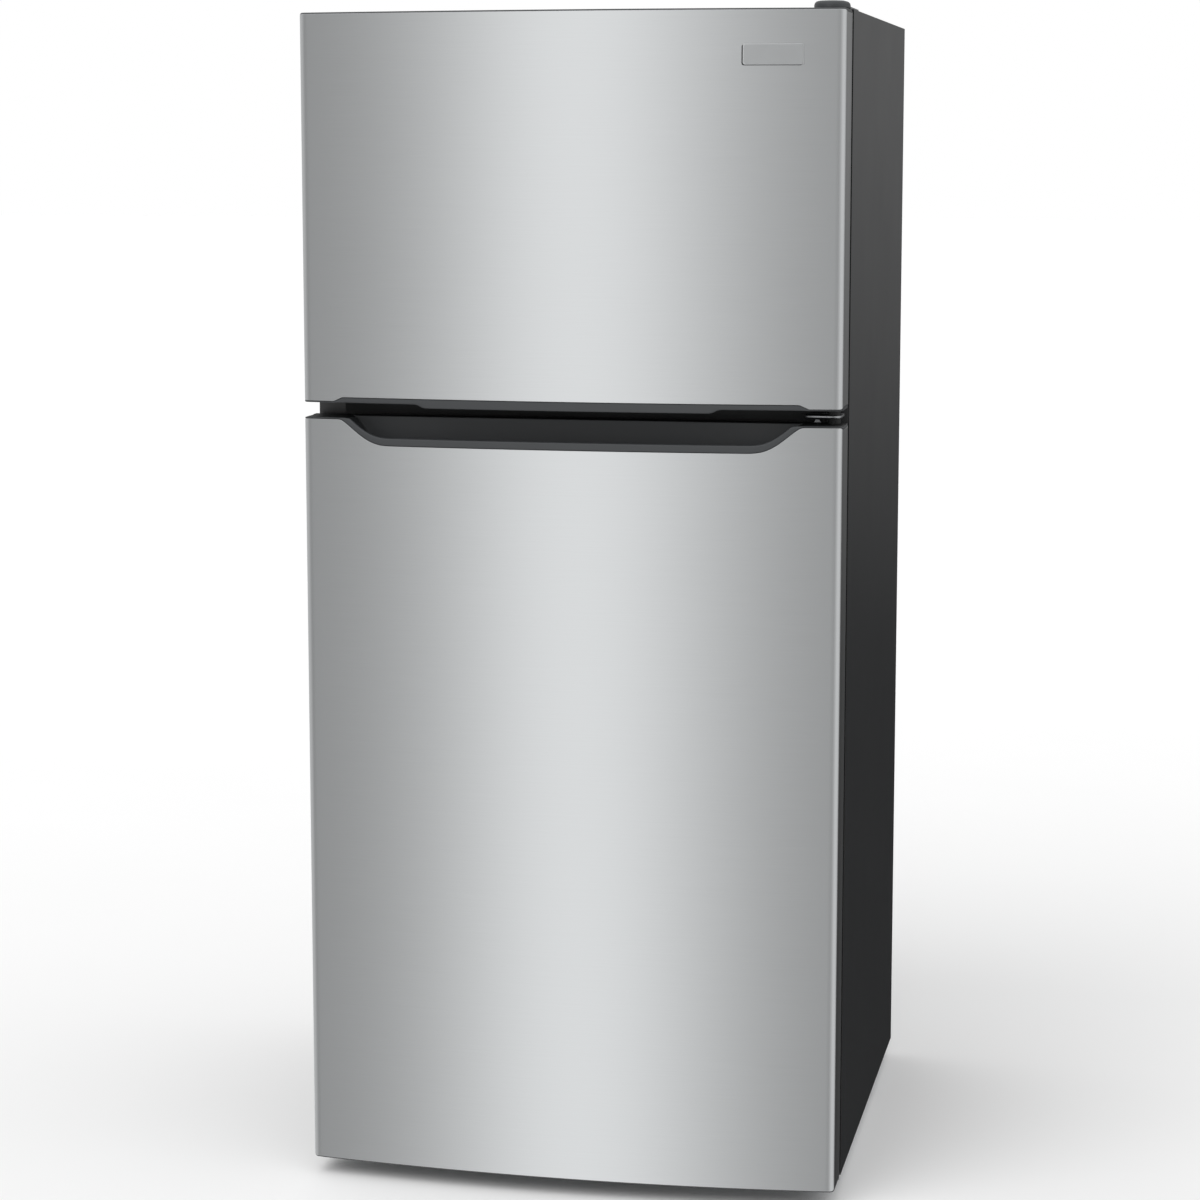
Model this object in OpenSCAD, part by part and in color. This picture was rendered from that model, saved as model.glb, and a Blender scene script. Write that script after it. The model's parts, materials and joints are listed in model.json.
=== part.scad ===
// Top freezer refrigerator, two doors hinged on the right.
// Origin: centre of the footprint on the floor. +Z up, front towards -Y, +X to the right.

/* [Cabinet] */
// Width of the cabinet and of both doors
width = 760; // [756:1:764]
// Depth from the crown of the doors to the back panel
depth = 772; // [768:1:780]
// Height from the floor to the top of the hinge cover
height = 1674; // [1670:1:1690]
// Thickness of the steel sheet of cabinet and doors
steel_t = 1.2; // [1:0.1:1.5]
// Thickness of the plastic liners
liner_t = 2; // [1.5:0.5:2.5]
// Gap between the floor and the cabinet
ground_gap = 25; // [24:1:26]
// Width of the front flange of the cabinet
flange_w = 39; // [38:1:40]

/* [Doors] */
// Thickness of a door at its edge
door_t = 62; // [60:1:64]
// How far the middle of a door bulges past its edges
crown = 24; // [16:1:30]
// Radius of the vertical front corners
corner_r = 9; // [7:1:12]
// Top edge of the fresh food door
fridge_top = 1104; // [1100:1:1106]
// Gap between the two doors
door_gap = 21; // [20:1:24]
// Thickness of the gasket between door and cabinet
gasket_t = 15.2; // [15:0.1:16]
// How far the bins and their side ribs reach behind the door
dyke_d = 54; // [40:1:56]

/* [Handles] */
// Half width of the level bottom of the scoop in the fresh food door
scoop_flat = 248; // [228:4:260]
// Half width of the scoop at the top edge of the door
scoop_mouth = 334; // [320:1:336]
// Depth of the scoop below the top edge
scoop_h = 38; // [30:1:45]
// Height of the plastic lip that shows above the steel
lip_h = 11; // [8:1:14]
// Depth of the finger pocket behind the lip
pocket_h = 80; // [65:1:90]
// Height of the shallow cut in the freezer door's bottom edge
slot_h = 8; // [6:1:10]

/* [Hinges] */
// Radius of the hinge pins
pin_r = 5; // [4:0.5:5]
// Radial clearance of a pin in its bushing
pin_fit = 0.05; // [0.02:0.01:0.1]
// Distance from the hinge pin to the side of the cabinet
hinge_in = 16; // [15:1:18]
// Height of the top hinge cover
cover_h = 10; // [9:1:18]

/* [Inside] */
// Half width of the fresh food compartment
fridge_half = 336; // [335:1:337]
// Half width of the freezer compartment
freezer_half = 328; // [327:1:329]
// Heights of the undersides of the two glass shelves
shelf_levels = [550, 805];
// Height of the freezer's wire shelf
wire_shelf_z = 1385; // [1360:5:1400]
// Wall thickness of drawers and door bins
bin_wall = 3; // [2:0.5:4]

/* [Hidden] */
$fn = 48;

// Main planes. Depth runs along Y, front to back.
half_w = width / 2;
crown_y = -depth / 2;
edge_y = crown_y + crown;
door_back = edge_y + door_t;
seal_y = door_back - steel_t;
front_y = seal_y + gasket_t;
back_y = depth / 2;
cab_top = height - cover_h;
in_x = half_w - steel_t;
in_front = front_y + steel_t;
in_back = back_y - steel_t;
in_top = cab_top - steel_t;

// Doors
fridge_bottom = ground_gap;
freezer_bottom = fridge_top + door_gap;
freezer_top = cab_top - 1;
crown_r = (half_w * half_w + crown * crown) / (2 * crown);
crown_steps = 32;
cap_t = 2;
plate_t = 3;
lip_t = 6;
door_liner_t = 1.5;
hem_w = 19;
foam_back = seal_y - door_liner_t;
plateau_y = seal_y + 9.2;
plateau_half = 336;
dyke_y = plateau_y + dyke_d - 8;
dyke_out = 318;
dyke_in = 292;
pocket_back = door_back - 18;
pocket_wall = 2.5;
pocket_flat = scoop_flat - 15;
pocket_mouth = scoop_mouth - 10;
slot_half = 322;
slot_run = 18;
freezer_lip_half = 200;
freezer_lip_h = 5;
finger_h = 18;
finger_back = edge_y + 22;

// Gaskets: a ring set in from the door's edges
ring_in = 22;
ring_w = 14;
ring_end = 12;
seal_gap = 0.2;

// Hinge line
hinge_x = half_w - hinge_in;
hinge_y = door_back - 25;
boss_r = 9;
boss_h = 23;
plate_h = 3;
center_z = fridge_top + 9;
bottom_z = ground_gap - 7;
screw_r = 3;

// Compartments
flange_in = half_w - flange_w;
rail_low = 1075;
rail_high = 1154;
front_rail_top = 54;
top_flange_low = cab_top - 30;
flange_reach = 360;
freezer_floor = 1163;
freezer_ceiling = 1622;
freezer_back = 322;
fridge_floor = 58;
fridge_ceiling = 1070;
fridge_back = 330;
hump_y = 105;
hump_z = 297;
hump_cut = 35;
rib_w = 10;
wall_gap = 46;

// Machine compartment
machine_y = hump_y + wall_gap;
machine_top = hump_z - wall_gap;
pan_t = 1.5;
tray_z = 27;
tray_t = 3;
roller_r = 18;
roller_w = 18;
roller_x = 300;
roller_y = 330;
axle_r = 4;
leg_x = 310;
leg_y = -225;
leg_r = 5;
leg_top = 45;
comp_x = 180;
comp_y = 268;
comp_r = 72;
fan_x = -20;
fan_y = comp_y;
fan_z = 125;
coil_y = comp_y;
coil_low = 66;
coil_rows = 5;
coil_pitch = 32;
coil_top = coil_low + (coil_rows - 1) * coil_pitch;
drain_r = 8;
drain_x = 200;
drain_y = 352;
drain_low = 226;
cup_front = 290;
cup_low = 1141;

// Freezer inside
cold_wall_y = 238;
air_fan_z = 1490;

// Fresh food compartment inside
shelf_half = 333;
shelf_front = -165;
shelf_back = 252;
shelf_t = 10;
glass_t = 4;
cover_z = 296;
cover_t = 14;
cover_front = -152;
cover_back = 128;
crisper_in = 8;
crisper_out = 324;
crisper_low = fridge_floor + 2;
crisper_high = 288;
crisper_front = -150;
crisper_back = 98;
slider_x = 155;
housing_half = 200;
housing_front = -70;
housing_back = 60;
housing_z = 1022;
knob_x = 120;
knob_z = 1046;
switch_x = 270;
switch_z = 1058;
switch_r = 4;

// Door bins
bin_half = dyke_in - 0.3;
bin_front = plateau_y + 0.3;
freezer_bins = [[1200, 1290], [1400, 1490]];
fridge_bins = [[540, 630], [745, 835]];
gallon_low = 316;
gallon_high = 426;
dairy_low = 930;
dairy_high = 1036;
dairy_back = -196;
dairy_pin_z = dairy_high - 6;
dairy_pin_r = 2;
plate_x = 283;
plate_w = 82;
plate_tall = 28;
plate_drop = 61;

// ---------- helpers ----------

// A box between two opposite corners.
module slab(lo, hi) { translate(lo) cube(hi - lo); }

// Draws its children and their mirror image in X.
module both_sides() {
    children();
    mirror([1, 0, 0]) children();
}

// A round rod from point a to point b.
module rod(a, b, r) {
    d = b - a;
    translate(a) rotate([0, acos(d[2] / norm(d)), atan2(d[1], d[0])]) cylinder(h = norm(d), r = r);
}

// Rods along a route, with a soldered elbow at each inner point.
module tube_run(route, r) {
    for (k = [0:len(route) - 2]) rod(route[k], route[k + 1], r);
    for (k = [1:1:len(route) - 2]) translate(route[k]) sphere(r = r * 1.2);
}

// Stands a flat X-Z outline upright and gives it depth from y0 to y1.
module upright(y0, y1) { translate([0, y1, 0]) rotate([90, 0, 0]) linear_extrude(y1 - y0) children(); }

// Stands a flat Y-Z outline upright and gives it width from -half to half.
module across(half) { translate([-half, 0, 0]) rotate([90, 0, 90]) linear_extrude(2 * half) children(); }

// A prism of a plan outline between two heights.
module prism(plan, z0, z1) { translate([0, 0, z0]) linear_extrude(z1 - z0) polygon(plan); }

function arc(c, r, a0, a1, n) = [for (k = [0:n]) let (a = a0 + (a1 - a0) * k / n) c + r * [cos(a), sin(a)]];

// Front face of a door at a distance x from its middle.
function crown_at(x) = crown_y + crown_r - sqrt(crown_r * crown_r - x * x);

// Plan outline of a door, set in by e from its front and sides.
function door_plan(e, back = door_back) =
    let (cx = half_w - corner_r,
         turn = asin(cx / (crown_r - corner_r)),
         cy = crown_y + crown_r - (crown_r - corner_r) * cos(turn),
         r = crown_r - e,
         rc = corner_r - e)
    concat([[half_w - e, back], [e - half_w, back]],
           arc([-cx, cy], rc, 180, 270 - turn, 5),
           [for (k = [1:crown_steps - 1]) let (a = turn * (2 * k / crown_steps - 1))
               [r * sin(a), crown_y + crown_r - r * cos(a)]],
           arc([cx, cy], rc, turn - 90, 0, 5));

function ease(t) = t * t * (3 - 2 * t);

// A dish shaped outline that opens upwards: level between -flat and flat, eased up to the mouth.
function dish(flat, mouth, low, rim) =
    let (n = 12,
         side = [for (k = [0:n])
             [flat + (mouth - flat) * k / n, low + (rim - low) * ease(pow(k / n, 1.5))]])
    concat([for (p = side) p], [[mouth, rim + 20], [-mouth, rim + 20]],
           [for (k = [n:-1:0]) [-side[k][0], side[k][1]]]);

// Runs the hinge line through its children at one height range.
module at_hinge(z0, z1, r) { translate([hinge_x, hinge_y, z0]) cylinder(h = z1 - z0, r = r); }

// A tray that is open at the top.
module open_box(lo, hi, wall) {
    difference() {
        slab(lo, hi);
        slab(lo + [wall, wall, wall], hi + [-wall, -wall, 1]);
    }
}

// A rack of tubes through thin fins, with return bends, running along X.
module fin_coil(half, rows, row_pitch, cols, col_pitch, tube_r, fins) {
    fin_pitch = 2 * half / (fins + 1);
    for (c = [0:cols - 1]) translate([0, (c - (cols - 1) / 2) * col_pitch, 0]) {
        for (k = [0:rows - 1])
            translate([-half, 0, k * row_pitch]) rotate([0, 90, 0]) cylinder(h = 2 * half, r = tube_r);
        for (k = [0:rows - 2]) translate([0, 0, (k + 0.5) * row_pitch])
            mirror([k % 2, 0, 0]) translate([half, 0, 0]) rotate([90, 0, 0]) rotate([0, 0, -90])
                rotate_extrude(angle = 180) translate([row_pitch / 2, 0]) circle(r = tube_r);
    }
    for (k = [1:fins]) translate([-half + k * fin_pitch, 0, (rows - 1) * row_pitch / 2])
        cube([1, cols * col_pitch, rows * row_pitch], center = true);
}

// A fan wheel on a shaft along Z, from z = 0 up.
module fan_wheel(hub_r, tip_r, hub_h, blades, bore_r) {
    difference() {
        union() {
            cylinder(h = hub_h, r = hub_r);
            for (k = [0:blades - 1]) rotate([0, 0, 360 * k / blades])
                translate([hub_r - 2, 0, hub_h / 2]) rotate([32, 0, 0])
                    translate([0, -hub_r * 0.7, -1]) cube([tip_r - hub_r, hub_r * 1.4, 2]);
        }
        translate([0, 0, -1]) cylinder(h = hub_h - 3, r = bore_r);
    }
}

// ---------- doors ----------

// Raised field and side ribs of a door's inner liner, set in by e.
module door_field(z0, z1, rib0, rib1, e) {
    slab([e - plateau_half, foam_back, z0 + e], [plateau_half - e, plateau_y - e, z1 - e]);
    both_sides() slab([dyke_in + e, foam_back, rib0 + e], [dyke_out - e, dyke_y - e, rib1 - e]);
}
module freezer_field(e) { door_field(freezer_bottom + 36, freezer_top - 36, 1180, 1600, e); }
module fridge_field(e) { door_field(fridge_bottom + 36, fridge_top - 36, 312, 1040, e); }

// Steel wrap of a door: front, sides and a hem down each back edge.
module door_wrap(z0, z1) {
    difference() {
        prism(door_plan(0), z0, z1);
        prism(door_plan(steel_t, seal_y), z0 - 1, z1 + 1);
        slab([hem_w - half_w, seal_y - 1, z0 - 1], [half_w - hem_w, door_back + 1, z1 + 1]);
    }
}

module gasket_ring(z0, z1) {
    out = half_w - ring_in;
    difference() {
        slab([-out, seal_y, z0 + ring_end], [out, front_y - seal_gap, z1 - ring_end]);
        slab([ring_w - out, seal_y - 1, z0 + ring_end + ring_w],
             [out - ring_w, front_y, z1 - ring_end - ring_w]);
    }
}

// Scoop of the fresh food door, raised by up, seen from the front.
module scoop(up) {
    upright(crown_y - 10, edge_y + 12)
        polygon(dish(scoop_flat, scoop_mouth, fridge_top - scoop_h + up, fridge_top + up));
}
module pocket(grow) {
    intersection() {
        prism(door_plan(grow > 0 ? steel_t : lip_t), fridge_top - pocket_h - 5, fridge_top + 5);
        upright(crown_y - 10, pocket_back + grow)
            polygon(dish(pocket_flat + grow, pocket_mouth + grow, fridge_top - pocket_h - grow, fridge_top));
    }
}
module fridge_trim_body() {
    intersection() {
        union() {
            pocket(pocket_wall);
            intersection() {
                prism(door_plan(0), fridge_top - pocket_h, fridge_top);
                scoop(0);
            }
        }
        slab([-half_w, crown_y, fridge_bottom], [half_w, door_back, fridge_top]);
    }
}

// Shallow cut along the freezer door's bottom edge, seen from the front.
module slot_cut() {
    upright(crown_y - 10, edge_y + 12)
        polygon([[-slot_half - slot_run, freezer_bottom], [slot_half + slot_run, freezer_bottom],
                 [slot_half, freezer_bottom + slot_h], [-slot_half, freezer_bottom + slot_h]]);
}
module finger_hollow(grow) {
    intersection() {
        prism(door_plan(grow > 0 ? steel_t : 5), freezer_bottom - freezer_lip_h - 1,
              freezer_bottom + finger_h + grow);
        slab([-freezer_lip_half - grow + 5, crown_y, freezer_bottom - (grow > 0 ? 0 : freezer_lip_h + 1)],
             [freezer_lip_half + grow - 5, finger_back + grow, freezer_bottom + finger_h + grow]);
    }
}
module freezer_trim_body() {
    finger_hollow(pocket_wall);
    intersection() {
        prism(door_plan(0), freezer_bottom, freezer_bottom + slot_h);
        slot_cut();
    }
}

module freezer_door_skin() color("silver") difference() {
    door_wrap(freezer_bottom, freezer_top - cap_t);
    slot_cut();
}
module freezer_door_foam() color("khaki") difference() {
    union() {
        prism(door_plan(steel_t, foam_back), freezer_bottom + plate_t, freezer_top - cap_t);
        freezer_field(door_liner_t);
    }
    freezer_trim_body();
    at_hinge(freezer_bottom, freezer_bottom + plate_t + boss_h, boss_r);
    at_hinge(freezer_top - cap_t - boss_h, freezer_top, boss_r);
}
module freezer_door_liner() color("white") difference() {
    union() {
        slab([-in_x, foam_back, freezer_bottom + plate_t], [in_x, seal_y, freezer_top - cap_t]);
        freezer_field(0);
    }
    freezer_field(door_liner_t);
}
module freezer_door_gasket() color("#202122") gasket_ring(freezer_bottom, freezer_top);
module freezer_door_top_cap() color("#2a2c2d") difference() {
    union() {
        prism(door_plan(0), freezer_top - cap_t, freezer_top);
        at_hinge(freezer_top - cap_t - boss_h, freezer_top, boss_r);
    }
    at_hinge(freezer_top - cap_t - boss_h - 1, freezer_top + 1, pin_r + pin_fit);
}
module freezer_handle_trim() color("#3c3e40") difference() {
    union() {
        prism(door_plan(steel_t, seal_y), freezer_bottom, freezer_bottom + plate_t);
        freezer_trim_body();
        intersection() {
            prism(door_plan(0), freezer_bottom - freezer_lip_h, freezer_bottom + 1);
            upright(crown_y - 10, edge_y)
                polygon([[-freezer_lip_half, freezer_bottom - freezer_lip_h],
                         [freezer_lip_half, freezer_bottom - freezer_lip_h],
                         [freezer_lip_half + 15, freezer_bottom + 1],
                         [-freezer_lip_half - 15, freezer_bottom + 1]]);
        }
        at_hinge(freezer_bottom, freezer_bottom + plate_t + boss_h, boss_r);
    }
    finger_hollow(0);
    prism(door_plan(5), freezer_bottom - freezer_lip_h - 1, freezer_bottom);
    at_hinge(freezer_bottom - 1, freezer_bottom + plate_t + boss_h + 1, pin_r + pin_fit);
}
module freezer_door_bins() color("gainsboro")
    for (b = freezer_bins) open_box([-bin_half, bin_front, b[0]], [bin_half, -202, b[1]], bin_wall);

module nameplate() color("lightgray")
    translate([plate_x, crown_at(plate_x), freezer_top - plate_drop]) rotate([0, 0, asin(plate_x / crown_r)])
        slab([-plate_w / 2, -1.8, -plate_tall / 2], [plate_w / 2, -0.05, plate_tall / 2]);

module fridge_door_skin() color("silver") difference() {
    door_wrap(fridge_bottom + cap_t, fridge_top);
    scoop(0);
}
module fridge_door_foam() color("khaki") difference() {
    union() {
        prism(door_plan(steel_t, foam_back), fridge_bottom + cap_t, fridge_top - plate_t);
        fridge_field(door_liner_t);
    }
    fridge_trim_body();
    at_hinge(fridge_bottom, fridge_bottom + cap_t + boss_h, boss_r);
    at_hinge(fridge_top - plate_t - boss_h, fridge_top, boss_r);
}
module fridge_door_liner() color("white") difference() {
    union() {
        slab([-in_x, foam_back, fridge_bottom + cap_t], [in_x, seal_y, fridge_top - plate_t]);
        fridge_field(0);
    }
    fridge_field(door_liner_t);
}
module fridge_door_gasket() color("#202122") gasket_ring(fridge_bottom, fridge_top);
module fridge_door_bottom_cap() color("#2a2c2d") difference() {
    union() {
        prism(door_plan(0), fridge_bottom, fridge_bottom + cap_t);
        at_hinge(fridge_bottom, fridge_bottom + cap_t + boss_h, boss_r);
    }
    at_hinge(fridge_bottom - 1, fridge_bottom + cap_t + boss_h + 1, pin_r + pin_fit);
}
module fridge_handle_trim() color("#3c3e40") difference() {
    union() {
        prism(door_plan(steel_t, seal_y), fridge_top - plate_t, fridge_top);
        fridge_trim_body();
        at_hinge(fridge_top - plate_t - boss_h, fridge_top, boss_r);
    }
    pocket(0);
    scoop(lip_h);
    at_hinge(fridge_top - plate_t - boss_h - 1, fridge_top + 1, pin_r + pin_fit);
}
module fridge_door_bins() color("gainsboro")
    for (b = fridge_bins) open_box([-bin_half, bin_front, b[0]], [bin_half, -198, b[1]], bin_wall);
module gallon_bin() color("gainsboro")
    open_box([-bin_half, bin_front, gallon_low], [bin_half, -190, gallon_high], bin_wall);
module dairy_bin() color("gainsboro") difference() {
    open_box([-bin_half, bin_front, dairy_low], [bin_half, dairy_back + 3, dairy_high], bin_wall);
    slab([bin_wall - bin_half, dairy_back - 3, dairy_low + 24],
         [bin_half - bin_wall, dairy_back + 4, dairy_high + 1]);
    rod([-bin_half - 1, dairy_back, dairy_pin_z], [bin_half + 1, dairy_back, dairy_pin_z],
        dairy_pin_r + pin_fit);
}
module dairy_cover() color("whitesmoke") {
    end = bin_half - bin_wall - 0.5;
    rod([-bin_half, dairy_back, dairy_pin_z], [bin_half, dairy_back, dairy_pin_z], dairy_pin_r);
    slab([-end, dairy_back - 2.5, dairy_low + 26], [end, dairy_back + 2.5, dairy_pin_z + 3]);
}

// ---------- cabinet ----------

// Side outline of the fresh food compartment, grown by t.
function fridge_side(t) =
    let (bevel = t * tan(22.5))
    [[in_front, fridge_floor - t], [hump_y + t, fridge_floor - t],
     [hump_y + t, hump_z - hump_cut - bevel], [hump_y + hump_cut + bevel, hump_z - t],
     [fridge_back + t, hump_z - t], [fridge_back + t, fridge_ceiling + t], [in_front, fridge_ceiling + t]];

module fridge_space(t) { across(fridge_half + t) polygon(fridge_side(t)); }
module freezer_space(t) {
    slab([-freezer_half - t, in_front, freezer_floor - t],
         [freezer_half + t, freezer_back + t, freezer_ceiling + t]);
}
module liner_flange(z0, z1) {
    slab([-flange_reach, in_front, z0], [flange_reach, in_front + liner_t, z1]);
}
module fridge_rim() { liner_flange(front_rail_top - 10, fridge_ceiling + 14); }
module freezer_rim() { liner_flange(freezer_floor - 14, top_flange_low + 16); }

module top_screw_spots() {
    for (p = [[342, -262], [366, -262], [354, -222]]) translate(concat(p, [0])) children();
}

module cabinet_shell() color("#4a4c4e") difference() {
    slab([-half_w, front_y, ground_gap], [half_w, back_y, cab_top]);
    slab([-in_x, in_front, ground_gap - 1], [in_x, back_y + 1, in_top]);
    slab([-flange_in, front_y - 1, ground_gap - 1], [flange_in, in_front + 1, top_flange_low]);
    top_screw_spots() translate([0, 0, in_top - 1]) cylinder(h = steel_t + 2, r = screw_r);
}
module back_panel() color("#6b6d6e")
    slab([-in_x, in_back, machine_top + pan_t], [in_x, back_y, in_top]);
module center_rail() color("#4a4c4e")
    slab([-flange_in, front_y, rail_low], [flange_in, in_front, rail_high]);

module leg_spots() { both_sides() translate([leg_x, leg_y, 0]) children(); }
module base_frame() color("#9a9c9d") {
    difference() {
        union() {
            slab([-in_x, in_front, ground_gap], [in_x, machine_y + pan_t, ground_gap + pan_t]);
            slab([-in_x, machine_y, ground_gap], [in_x, machine_y + pan_t, machine_top + pan_t]);
            slab([-in_x, machine_y, machine_top], [in_x, in_back, machine_top + pan_t]);
            slab([-flange_in, front_y, ground_gap], [flange_in, in_front, front_rail_top]);
        }
        leg_spots() translate([0, 0, ground_gap - 1]) cylinder(h = pan_t + 2, r = 8);
        drain_bore(machine_top - 1, machine_top + 3, drain_r);
    }
    difference() {
        slab([-in_x, machine_y + 14, tray_z], [in_x, in_back - 2, tray_z + tray_t]);
        both_sides() slab([roller_x - 14, roller_y - 18, tray_z - 1],
                          [roller_x + 14, roller_y + 22, tray_z + tray_t + 1]);
    }
}
module insulation() color("khaki") difference() {
    slab([-in_x, in_front, ground_gap + pan_t], [in_x, in_back, in_top]);
    fridge_space(liner_t);
    freezer_space(liner_t);
    fridge_rim();
    freezer_rim();
    slab([-half_w, machine_y, 0], [half_w, back_y, machine_top + pan_t]);
    drain_cup();
    drain_bore(machine_top, cup_low + 1, drain_r);
    leg_spots() translate([0, 0, ground_gap]) cylinder(h = leg_top - ground_gap + 4, r = 8);
    top_screw_spots() translate([0, 0, in_top - 9]) cylinder(h = 12, r = screw_r + 1);
}
module freezer_liner() color("white") difference() {
    union() {
        freezer_rim();
        freezer_space(liner_t);
    }
    difference() {
        union() {
            freezer_space(0);
            slab([-freezer_half, front_y - 1, freezer_floor], [freezer_half, in_front + 1, freezer_ceiling]);
        }
        both_sides() slab([freezer_half - rib_w, -190, wire_shelf_z - 13],
                          [freezer_half, cold_wall_y - 8, wire_shelf_z - 3]);
    }
    translate([drain_x, cup_front + 14, freezer_floor - liner_t - 1]) cylinder(h = liner_t + 2, r = drain_r);
}
module fridge_liner() color("white") difference() {
    union() {
        fridge_rim();
        fridge_space(liner_t);
    }
    difference() {
        union() {
            fridge_space(0);
            slab([-fridge_half, front_y - 1, fridge_floor], [fridge_half, in_front + 1, fridge_ceiling]);
        }
        for (z = shelf_levels) both_sides() slab([fridge_half - rib_w, -200, z - 10], [fridge_half, 300, z]);
        both_sides() slab([fridge_half - rib_w, cover_front, cover_z - 10], [fridge_half, 120, cover_z]);
    }
}

module foot_brackets() color("#8a8c8d") {
    difference() {
        leg_spots() slab([-32, -32, 18], [32, 32, ground_gap]);
        leg_spots() cylinder(h = ground_gap + 1, r = leg_r + pin_fit);
    }
    both_sides() translate([roller_x, roller_y, 0]) {
        difference() {
            slab([-14, -18, 8], [14, 18, 43]);
            slab([-11, -19, 7], [11, 19, 40]);
        }
        rod([-16, 0, roller_r], [16, 0, roller_r], axle_r);
    }
}

module compressor() color("#1c1d1e") {
    translate([comp_x, comp_y, 0]) {
        rotate_extrude() polygon(concat([[0, 42]], arc([comp_r - 22, 64], 22, -90, 0, 6),
                                        arc([comp_r - 34, 172], 34, 0, 90, 8), [[0, 206]]));
        slab([-85, -62, 38], [85, 62, 42]);
        for (x = [-70, 70], y = [-48, 48]) translate([x, y, tray_z + tray_t]) cylinder(h = 8, r = 11);
        slab([-comp_r - 20, -22, 90], [-comp_r + 4, 22, 140]);
    }
}
module condenser_coil() color("#2b2c2d")
    translate([-200, coil_y, coil_low]) fin_coil(118, coil_rows, coil_pitch, 4, 34, 3.5, 15);
module condenser_fan_motor() color("#33353a") {
    rotate([90, 0, 90]) translate([fan_y, fan_z, fan_x - 30]) difference() {
        translate([-100, -95, 0]) cube([200, 190, 2]);
        translate([0, 0, -1]) cylinder(h = 4, r = 64);
    }
    for (s = [-1, 1])
        slab([fan_x - 28, fan_y + s * 72 - 2, fan_z - 10], [fan_x + 28, fan_y + s * 72 + 2, fan_z + 10]);
    slab([fan_x + 25, fan_y - 74, fan_z - 10], [fan_x + 28, fan_y + 74, fan_z + 10]);
    rod([fan_x + 28, fan_y, fan_z], [fan_x + 64, fan_y, fan_z], 22);
    rod([fan_x + 1, fan_y, fan_z], [fan_x + 28, fan_y, fan_z], 2.5);
}
module condenser_fan() color("#d8d8d4")
    translate([fan_x + 22, fan_y, fan_z]) rotate([0, -90, 0]) fan_wheel(18, 58, 26, 5, 2.55);
// Hot gas line, suction line, liquid line, filter drier and capillary, in that order.
module refrigerant_tubes() color("#b06a3a") {
    tube_run([[comp_x, comp_y - comp_r - 0.5, 120], [comp_x, 160, 120], [comp_x, 160, coil_top],
              [-68, 160, coil_top], [-68, coil_y - 51, coil_top], [-81.5, coil_y - 51, coil_top]], 3.5);
    tube_run([[comp_x, comp_y + comp_r + 0.5, 140], [comp_x, 364, 140], [300, 364, 140],
              [300, 364, machine_top]], 4);
    tube_run([[-318.5, coil_y + 51, coil_low], [-328, coil_y + 51, coil_low], [-328, 373, coil_low],
              [70, 373, coil_low], [70, 362, coil_low], [70, 362, 110]], 2.5);
    rod([70, 362, 110], [70, 362, 200], 11);
    rod([70, 362, 200], [70, 362, machine_top], 1.5);
}
module drain_bore(z0, z1, r) { translate([drain_x, drain_y, z0]) cylinder(h = z1 - z0, r = r); }
module drain_cup() {
    slab([drain_x - 15, cup_front, cup_low],
         [drain_x + 15, drain_y + drain_r + 2, freezer_floor - liner_t]);
}
module defrost_drain() color("#4a4c4e") {
    difference() {
        union() {
            drain_cup();
            drain_bore(drain_low, cup_low + 1, drain_r);
        }
        slab([drain_x - 13, cup_front + 2, cup_low + 2], [drain_x + 13, drain_y + drain_r, freezer_floor]);
        drain_bore(drain_low - 1, cup_low + 3, drain_r - 1.5);
    }
    open_box([comp_x - 70, comp_y - 75, 210], [comp_x + 90, in_back - 14, 236], 2);
}
module compressor_cover() color("#55585a") {
    difference() {
        slab([-in_x + 2, in_back, tray_z + tray_t + 2], [in_x - 2, back_y, machine_top - 1]);
        for (s = [-1, 1], k = [0:13]) translate([s * (70 + 20 * k), 0, 0])
            slab([-4, in_back - 1, 90], [4, back_y + 1, 190]);
        rod([-340, in_back - 1, 60], [-340, back_y + 1, 60], 9);
    }
    difference() {
        rod([-340, in_back - 3, 60], [-340, back_y, 60], 9);
        rod([-340, in_back - 4, 60], [-340, back_y + 1, 60], 4.5);
    }
}
module evaporator_cover() color("#eef0f0") difference() {
    slab([-freezer_half + 1, cold_wall_y, freezer_floor + 1],
         [freezer_half - 1, cold_wall_y + 2.5, freezer_ceiling - 1]);
    for (k = [-3:3])
        slab([-52, cold_wall_y - 1, air_fan_z + 14 * k - 3], [52, cold_wall_y + 4, air_fan_z + 14 * k + 3]);
    for (k = [-8:8])
        slab([34 * k - 11, cold_wall_y - 1, freezer_floor + 10],
             [34 * k + 11, cold_wall_y + 4, freezer_floor + 22]);
}
module evaporator_coil() color("#c9ccce") translate([0, 281, 1216]) fin_coil(226, 6, 32, 2, 28, 4, 21);
module evaporator_fan_motor() color("#33353a") {
    slab([-70, 300, air_fan_z - 60], [70, 303, air_fan_z + 60]);
    for (x = [-58, 58], z = [-48, 48]) rod([x, 303, air_fan_z + z], [x, freezer_back, air_fan_z + z], 5);
    rod([0, 278, air_fan_z], [0, 300, air_fan_z], 24);
    rod([0, 255, air_fan_z], [0, 278, air_fan_z], 2.5);
}
module evaporator_fan() color("#e6e6e2")
    translate([0, 272, air_fan_z]) rotate([90, 0, 0]) fan_wheel(16, 48, 22, 5, 2.55);
module defrost_heater() color("#b5a48a") {
    rod([-236, 281, 1184], [236, 281, 1184], 4);
    for (s = [-1, 1]) slab([s * 236 - 3, 274, 1174], [s * 236 + 3, 288, 1200]);
}
module freezer_shelf() color("white") {
    side = freezer_half - 2;
    z = wire_shelf_z;
    y1 = cold_wall_y - 14;
    for (y = [-170, 28, y1]) rod([-side, y, z], [side, y, z], 3, $fn = 8);
    for (k = [-12:12]) rod([k * 26, -170, z + 3], [k * 26, y1, z + 3], 2, $fn = 8);
}

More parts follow.
